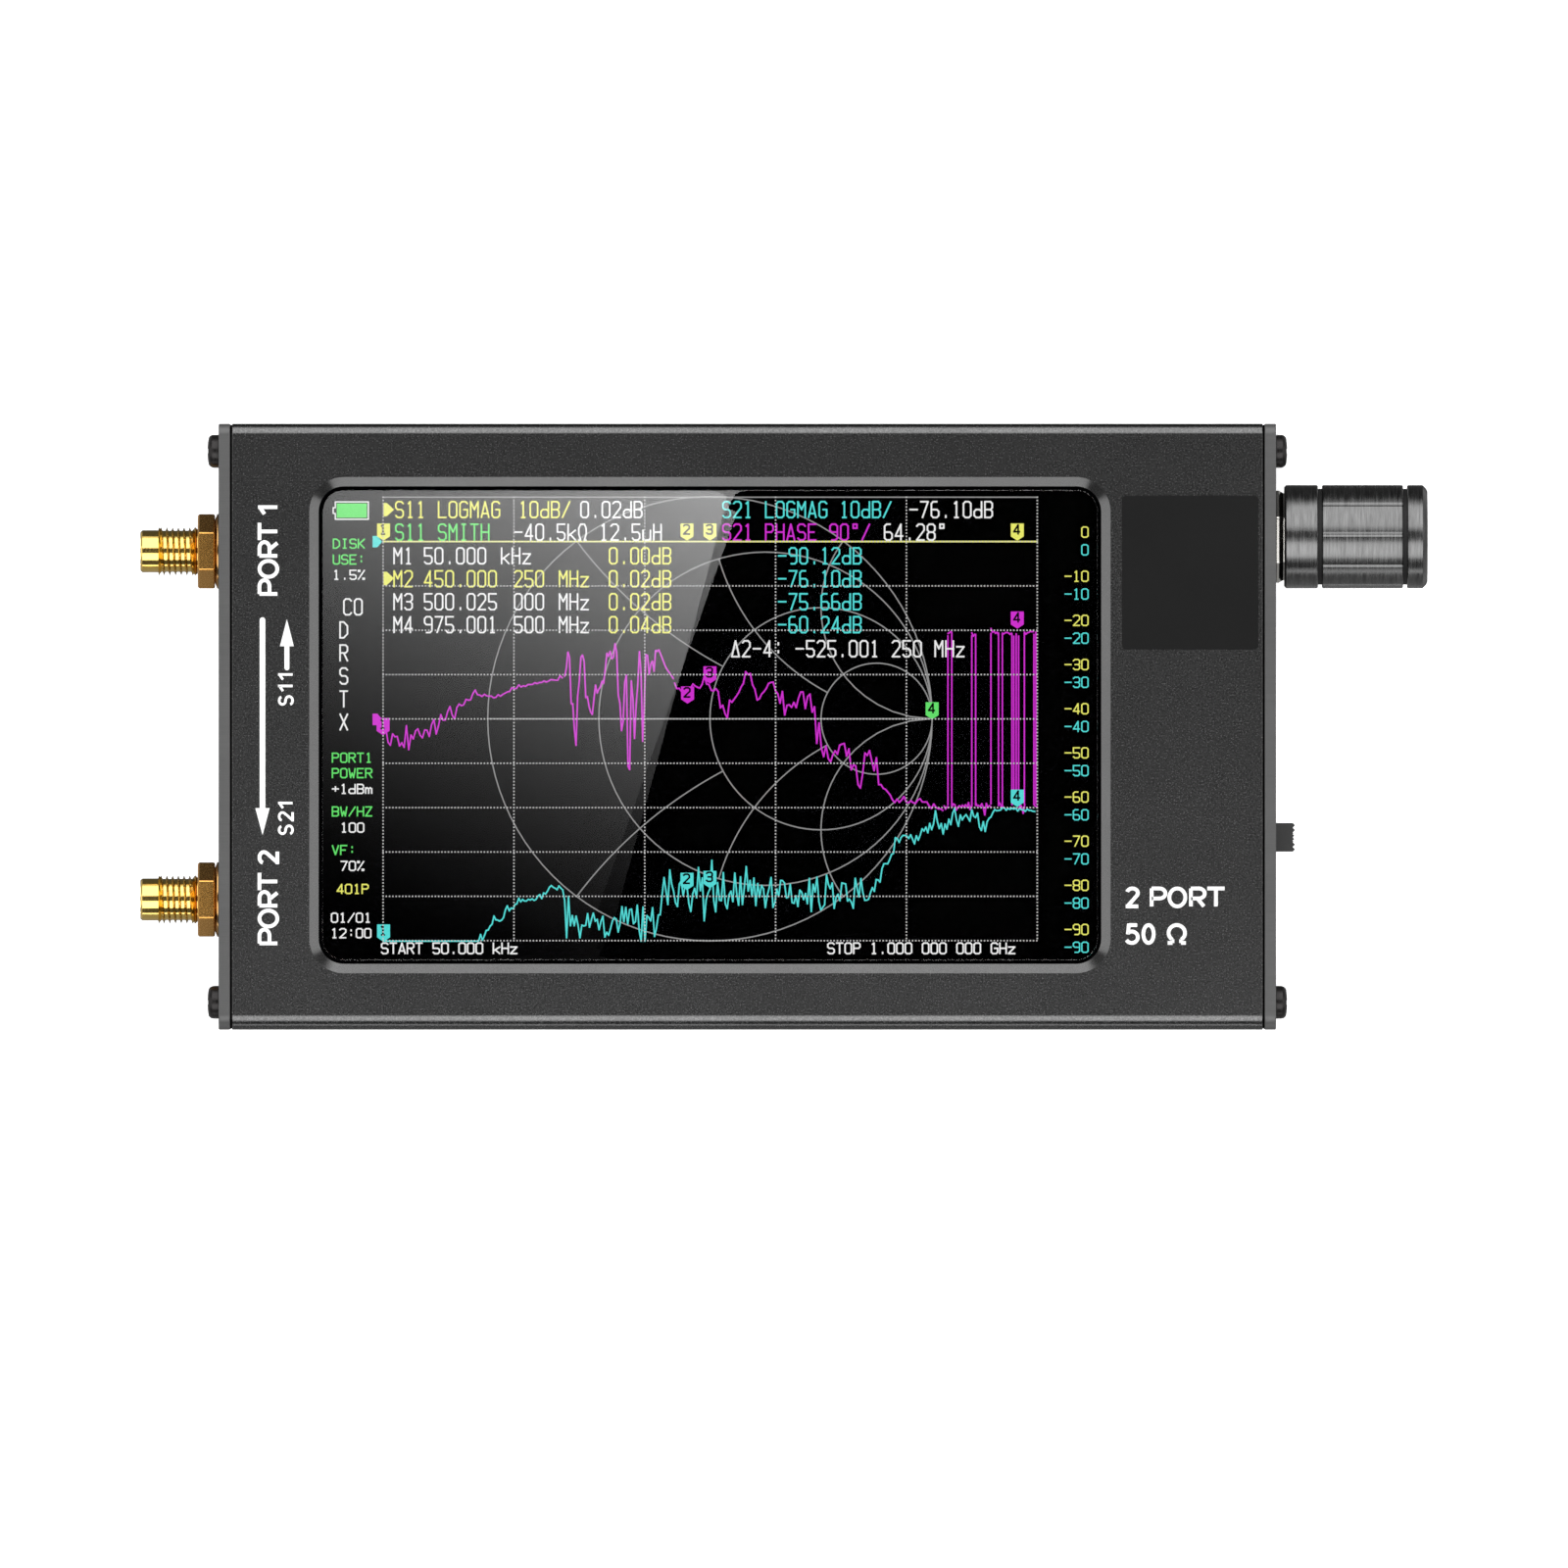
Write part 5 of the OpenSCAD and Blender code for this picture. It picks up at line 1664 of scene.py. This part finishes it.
@dataclass
class Knob:
    """The turned and grooved knob, its set screw, and the nut behind it."""

    ring_depth: float = 0.45
    base_length: float = 4.14
    ring_width: float = 0.52
    grip_length: float = 9.95
    grooves: int = 10
    groove_half: float = 0.3
    groove_depth: float = 0.15
    groove_turn: float = 2.5
    base_chamfer: float = 0.25
    chamfer: float = 0.6
    dish: float = 0.12
    counterbore: float = 5.9
    recess: float = 3.8
    recess_end: float = 71.2
    counterbore_end: float = 67.75
    bore: float = 3.02
    bore_end: float = 79.5
    edge: float = 0.12
    screw_hole: float = 1.52
    screw_start: float = 1.5
    bushing_hole: float = 3.7
    nut_flats: float = 10.0
    nut_corner: float = 0.45
    nut_hole: float = 3.52
    nut_turn: float = 5.5

    def place(self) -> Place:
        """Finds the knob's axis.

        Returns:
            The axis, measured from the middle of the object along x.
        """
        low, high = span("encoder_shaft")
        return Place((0.0, (low[1] + high[1]) / 2, (low[2] + high[2]) / 2), Facing.RIGHT)

    def angles(self) -> Array:
        """Spaces the knob's columns.

        Returns:
            Angles that are close together at each groove and even between the grooves.
        """
        radius = (span("control_knob")[1][2] - span("control_knob")[0][2]) / 2
        half = self.groove_half / radius
        sector = 2 * math.pi / self.grooves
        near = half * np.array([-1.5, -1.15, -1.0, -0.85, -0.5, -0.12, 0.12, 0.5, 0.85, 1.0, 1.15, 1.5])
        between = np.linspace(1.5 * half, sector - 1.5 * half, 10)[1:-1]
        one = np.concatenate([near, between])
        start = math.pi / 2 - math.radians(self.groove_turn)
        return (start + np.arange(self.grooves)[:, None] * sector + one).reshape(-1)

    def build_knob(self) -> None:
        """Makes the knob: (h, r) turned, less V grooves depth * max(0, 1 - |da| r / half) on the grip."""
        low, high = span("control_knob")
        radius, base, end = (high[2] - low[2]) / 2, low[0], high[0]
        ring_1, grip = base + self.base_length, base + self.base_length + self.ring_width
        ring_2 = grip + self.grip_length
        cap = ring_2 + self.ring_width
        e, f = self.edge, radius - self.ring_depth
        inside = [(self.bore_end, 0), (self.bore_end, self.bore), (self.recess_end, self.bore),
                  (self.recess_end, self.recess), (self.counterbore_end, self.recess),
                  (self.counterbore_end, self.counterbore), (base, self.counterbore)]
        k = self.base_chamfer
        outside = [(base, radius - k), (base + k, radius), (ring_1 - e, radius), (ring_1, radius - e),
                   (ring_1, f), (grip, f), (grip, radius - e), (grip + e, radius), (ring_2 - e, radius),
                   (ring_2, radius - e), (ring_2, f), (cap, f), (cap, radius - e), (cap + e, radius),
                   (end - self.chamfer, radius), (end - 0.15, radius - 0.45), (end, radius - 0.75),
                   (end - self.dish, radius - 1.0), (end - self.dish, 0)]
        profile = np.array(inside + outside, float)
        # The walls and floors of the two ring grooves take the near-black finish: painted shade for the
        # shadow that falls in these recesses.
        dark = np.zeros(len(profile) - 1, int)
        first = len(inside)
        for gap in (3, 4, 5, 9, 10, 11):
            dark[first + gap] = 1
        sector = 2 * math.pi / self.grooves
        start = math.pi / 2 - math.radians(self.groove_turn)

        def relief(h: Array, r: Array, a: Array) -> Array:
            """Cuts the grooves where the outer wall is the grip.

            Args:
                h: heights.
                r: radii.
                a: angles in radians.

            Returns:
                What is taken off the radius.
            """
            off = np.abs((a - start + sector / 2) % sector - sector / 2) * radius
            depth = self.groove_depth * np.clip(1 - off / self.groove_half, 0, 1)
            return depth * ((h >= grip) & (h <= ring_2) & (r > f + 0.01))

        shell = Shell().turned(profile, self.place(), angles=self.angles(), relief=relief, closed=False,
                               mark=dark)
        knob = shell.piece("knob_grooved", [KNOB_METAL, KNOB_GROOVE_SHADE])
        low, high = span("knob_set_screw")
        x = (low[0] + high[0]) / 2
        _, y, z = self.place().origin
        inner, outer = self.screw_start, radius + 0.4
        drill = [(inner, 0.0), (inner, self.screw_hole), (outer, self.screw_hole), (outer, 0.0)]
        hole = Shell().turned(drill, Place((x, y, z), Facing.BACK), 40, closed=False)
        carve(knob, hole.piece("hole", [KNOB_METAL]))
        fit(polish(knob, 24), "knob", "knob_metal", "control_knob")

    def build_nut(self) -> None:
        """Makes the nut that holds the encoder to the plate."""
        start, stop = (corner[0] for corner in span("encoder_nut"))
        levels = [(0.12, start), (0.0, start + 0.12), (0.0, start + 0.4), (0.33, start + 0.95),
                  (0.33, stop - 0.1), (0.43, stop)]
        shell = hex_nut(levels, self.nut_flats, self.nut_corner, self.nut_hole, self.place(), self.nut_turn)
        nut = shell.piece("encoder_nut_chamfered", [NICKEL])
        fit(polish(nut, 20), "housing", "steel", "encoder_nut")

    def build(self) -> None:
        """Makes the knob, the nut and the set screw."""
        self.build_knob()
        self.build_nut()
        screw = softened("knob_set_screw", STEEL, 0.06, "set_screw_rounded")
        fit(screw, "knob", "steel", "knob_set_screw")


@dataclass
class EndFittings:
    """The power switch and the charging socket in the right end plate."""

    pad_width: float = 0.25
    pad_pitch: float = 0.5
    pads: int = 12
    pad_length: float = 4.0
    pad_half: float = 0.03
    pad_back: float = 0.35
    blade_half: float = 0.35
    notches: int = 6
    notch: float = 0.3
    socket_opening: tuple[float, float, float] = (9.34, 3.66, 1.5)
    slot_centre: tuple[float, float] = (-12.6, 12.095)
    slot: tuple[float, float, float] = (6.15, 2.4, 0.25)

    def openings(self) -> list[Array]:
        """Draws the plate's holes for the socket and the lever.

        Returns:
            Two loops in y and z.
        """
        low, high = span("usb_socket_shell")
        socket = round_rect(tuple(((low + high) / 2)[1:]), *self.socket_opening)
        return [socket, round_rect(self.slot_centre, *self.slot, 5)]

    def teeth(self, low: Array, high: Array) -> bpy.types.Object:
        """Makes the V notches that cut grip teeth into the lever's outer face.

        Args:
            low, high: the lever's box.

        Returns:
            The cutter.
        """
        shell, d = Shell(), self.notch
        pitch = (high[1] - low[1]) / (self.notches + 0.8)
        for n in range(self.notches):
            y = (low[1] + high[1]) / 2 + (n - (self.notches - 1) / 2) * pitch
            loop = np.array([(high[0] - d, y), (high[0] + d / 4, y - d), (high[0] + d / 4, y + d)])
            shell.prism([loop], [(0, low[2] - 1), (0, high[2] + 1)])
        return shell.piece("notches", [LEVER_BLACK])

    def build(self) -> None:
        """Makes the lever, the switch housing, the socket and its gold contacts."""
        lever = softened("power_switch_slider", LEVER_BLACK, 0.05, "switch_lever_rounded")
        carve(lever, self.teeth(*span("power_switch_slider")))
        fit(polish(lever), "switch_lever", "black_plastic", "power_switch_slider")
        frame = softened("power_switch_frame", TINNED, 0.05, "switch_frame_rounded")
        fit(frame, "housing", "tinned_steel", "power_switch_frame")
        socket = softened("usb_socket_shell", STEEL, 0.05, "charging_shell_rounded")
        fit(socket, "housing", "steel", "usb_socket_shell")
        tongue = softened("usb_socket_tongue", DARK_NYLON, 0.04, "charging_tongue_rounded")
        fit(tongue, "housing", "black_plastic", "usb_socket_tongue")
        shell_low, shell_high = span("usb_socket_shell")
        centre_y, centre_z = (shell_low + shell_high)[1:] / 2
        tip = span("usb_socket_tongue")[1][0] - self.pad_back
        shell = Shell()
        for side in (-1, 1):
            for n in range(self.pads):
                y = centre_y + (n - (self.pads - 1) / 2) * self.pad_pitch
                z = centre_z + side * self.blade_half
                shell.block((tip - self.pad_length, y - self.pad_width / 2, z - self.pad_half),
                            (tip, y + self.pad_width / 2, z + self.pad_half))
        fit(shell.piece("charging_contacts", [GOLD]), "housing", "gold_plate")


# ---------------------------------------------------------------- inside parts and studio


class Inside:
    """The CAD nodes that stay as they are, and the finish of each; the others are anodised."""

    FINISHES = {
        "display_gasket": FOAM, "display_tray": TINNED, "display_ribbon": FLEX,
        "display_connector": PALE_NYLON, "main_board": BOARD, "rf_shield_frame": TINNED,
        "rf_shield_lid": TINNED, "processor_chip": EPOXY, "memory_chip": EPOXY, "small_chips": EPOXY,
        "charger_coil": FERRITE, "crystal_oscillator": TINNED, "battery_connector": PALE_NYLON,
        "battery_plug": PALE_NYLON, "battery_leads": WIRE, "battery_cell": POUCH, "battery_tape": TAPE,
        "power_switch_base": PHENOLIC, "encoder_case": DARK_NYLON, "encoder_bushing": NICKEL,
        "encoder_shaft": STEEL, "encoder_rotor": PALE_NYLON, "encoder_plunger": PALE_NYLON,
        "encoder_dome": STEEL, "encoder_pins": TINNED,
    }

    def dress(self, nodes: dict[str, bpy.types.Object]) -> None:
        """Gives every node its finish.

        Args:
            nodes: the CAD nodes by name.
        """
        for name, node in nodes.items():
            node.data.materials.clear()
            node.data.materials.append(self.FINISHES.get(name, ANODISED).material())
            LOG.info("%s: dressed", name)


@dataclass(frozen=True)
class Softbox:
    """A flat light whose two long edges stand at two angles from straight up.

    The angles are in degrees, positive towards +y or +x. The edges run along x or y, reach metres
    from the object, and are length metres long. power is the radiance.
    """

    name: str
    start: float
    stop: float
    power: float
    length: float = 1.3
    along_x: bool = True
    reach: float = 1.2

    def build(self) -> None:
        """Makes the light."""
        angles = np.radians([self.start, self.stop])
        a, b = np.stack([np.sin(angles), np.cos(angles)], -1) * self.reach
        run, side = Vector((1, 0, 0)), Vector((0, 1, 0))
        if not self.along_x:
            run, side = side, run
        up = Vector((0, 0, 1))
        across = side * (b[0] - a[0]) + up * (b[1] - a[1])
        centre = (side * (a[0] + b[0]) + up * (a[1] + b[1])) / 2
        wide = across.length
        across.normalize()
        back = run.cross(across)
        if back.dot(centre) < 0:
            run, back = -run, -back
        data = bpy.data.lights.new(self.name, "AREA")
        data.shape, data.size, data.size_y = "RECTANGLE", self.length, wide
        data.energy = self.power * self.length * wide * math.pi
        light = bpy.data.objects.new(self.name, data)
        light.visible_camera = False
        light.matrix_world = Matrix.Translation(centre) @ Matrix((run, across, back)).transposed().to_4x4()
        bpy.context.scene.collection.objects.link(light)


SOFTBOXES = (
    Softbox("far_side", 18.5, 77.0, 2.7), Softbox("near_side", -9.5, -48.0, 3.0),
    Softbox("far_low", 78.0, 88.0, 1.1, 1.0), Softbox("near_low", -79.0, -88.0, 2.4, 1.0),
    Softbox("left_end", -35.0, -88.0, 1.2, 1.1, False), Softbox("right_end", 35.0, 88.0, 1.2, 1.1, False),
)


@dataclass
class Studio:
    """The camera, the floor, the lights and the cards that the metal and the glass reflect."""

    aim: tuple[float, float] = (4.506, -7.036)
    distance: float = 9000.0
    lens: float = 1681.0
    sensor: float = 36.0
    floor_radius: float = 4000.0
    floor_gap: float = 0.05
    glare_corners: tuple[tuple[float, float], ...] = ((-3.4, 103.4), (-140, 120), (-140, -80), (-56.4, -80))
    glare_height: float = 22.0
    glare_slant: float = 0.45
    glare_run: tuple[float, float] = (-0.092, 0.062)
    glare_falloff: float = 2.75
    glare_strength: float = 4.9
    disc_radius: float = 150.0
    disc_height: float = 140.0
    room: float = 0.09
    ends_glow: float = 0.4
    near_glow: float = 0.28

    def camera(self) -> None:
        """Makes the camera that looks straight down on the front."""
        data = bpy.data.cameras.new("camera")
        data.type, data.lens, data.sensor_width = "PERSP", self.lens, self.sensor
        data.clip_start, data.clip_end = 0.05, 20
        camera = bpy.data.objects.new("camera", data)
        top = span("case_extrusion")[1][2]
        camera.location = Vector((*self.aim, top + self.distance)) * MM
        bpy.context.scene.collection.objects.link(camera)
        bpy.context.scene.camera = camera

    def card(self, name: str, corners: Sequence[tuple[float, float]], height: float,
             material: bpy.types.Material) -> None:
        """Makes a flat sheet that faces down.

        Args:
            name: the sheet's name.
            corners: x and y, from the middle of the view.
            height: above the origin.
            material: its material.
        """
        loop = np.array(corners, float) + self.aim
        sheet = Shell().cap([loop], 0.0, Place((0, 0, height)), False).piece(name, [])
        sheet.data.materials.append(material)
        sheet.visible_shadow = False
        sheet.visible_diffuse = False

    def floor(self) -> None:
        """Makes the plain pale floor: a wide round sheet whose faint glow lifts the shadows."""
        loop = circle((0, 0), self.floor_radius, 96)
        low = span("case_extrusion")[0][2] - self.floor_gap
        sheet = Shell().cap([loop], low, AT_ORIGIN, True).piece("floor", [FLOOR])
        sheet.visible_glossy = False

    def glare_light(self) -> bpy.types.Material:
        """Makes the light of the glare card: ((0.45 x + y) over its run) ** falloff * strength.

        Returns:
            The material.
        """
        made = bpy.data.materials.new("glare_light")
        made.use_nodes = True
        tree = made.node_tree
        tree.nodes.clear()
        split = tree.nodes.new("ShaderNodeSeparateXYZ")
        tree.links.new(tree.nodes.new("ShaderNodeTexCoord").outputs["Object"], split.inputs[0])
        slant = combine(tree, "MULTIPLY_ADD", split.outputs["X"], self.glare_slant, split.outputs["Y"])
        share = ramp(tree, slant, self.glare_run, (0.0, 1.0))
        fade = combine(tree, "POWER", share, self.glare_falloff)
        glow = tree.nodes.new("ShaderNodeEmission")
        tree.links.new(combine(tree, "MULTIPLY", fade, self.glare_strength), glow.inputs["Strength"])
        out = tree.nodes.new("ShaderNodeOutputMaterial")
        tree.links.new(glow.outputs[0], out.inputs["Surface"])
        return made

    def world(self) -> None:
        """Makes the dim room, brighter below the horizon towards both ends and the near side."""
        world = bpy.data.worlds.new("studio")
        world.use_nodes = True
        tree = world.node_tree
        split = tree.nodes.new("ShaderNodeSeparateXYZ")
        tree.links.new(tree.nodes.new("ShaderNodeTexCoord").outputs["Generated"], split.inputs[0])
        below = ramp(tree, split.outputs["Z"], (-0.05, 0.05), (1.0, 0.0))
        aside = combine(tree, "ABSOLUTE", split.outputs["X"])
        ends = ramp(tree, aside, (0.25, 0.5), (0.0, self.ends_glow))
        near = ramp(tree, split.outputs["Y"], (-0.4, -0.1), (self.near_glow, 0.0))
        glow = combine(tree, "MULTIPLY_ADD", below, combine(tree, "MAXIMUM", ends, near), self.room)
        tree.links.new(glow, tree.nodes["Background"].inputs["Color"])
        bpy.context.scene.world = world
        bpy.context.scene.view_settings.view_transform = "Standard"

    def build(self) -> None:
        """Sets up the whole studio."""
        self.camera()
        self.floor()
        glare_at, disc_at = self.distance + self.glare_height, self.distance + self.disc_height
        self.card("glare_card", self.glare_corners, glare_at, self.glare_light())
        self.card("dark_card", circle((0, 0), self.disc_radius, 64), disc_at, BLACK_CLOTH.material())
        for box in SOFTBOXES:
            box.build()
        self.world()


def main() -> None:
    """Builds the analyzer and the studio, in order."""
    logging.basicConfig(level=logging.INFO, format="%(message)s", stream=sys.stdout)
    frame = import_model()
    _FRAME.update(frame)
    Inside().dress(frame["nodes"])
    case = Case()
    case.build()
    ports = [Port(1), Port(2)]
    port_holes = [circle(p.place().origin[1:], p.plate_hole) for p in ports]
    EndPlate("left_end_plate", case, port_holes).build()
    knob, fittings = Knob(), EndFittings()
    bushing = circle(knob.place().origin[1:], knob.bushing_hole)
    EndPlate("right_end_plate", case, [bushing, *fittings.openings()]).build()
    for node in ("left_plate_screws", "right_plate_screws"):
        PlateScrews(node, case).build()
    FrontPrint().build()
    Display().build()
    Screen().build()
    for port in ports:
        port.build()
    knob.build()
    fittings.build()
    Studio().build()


if __name__ == "__main__":
    main()
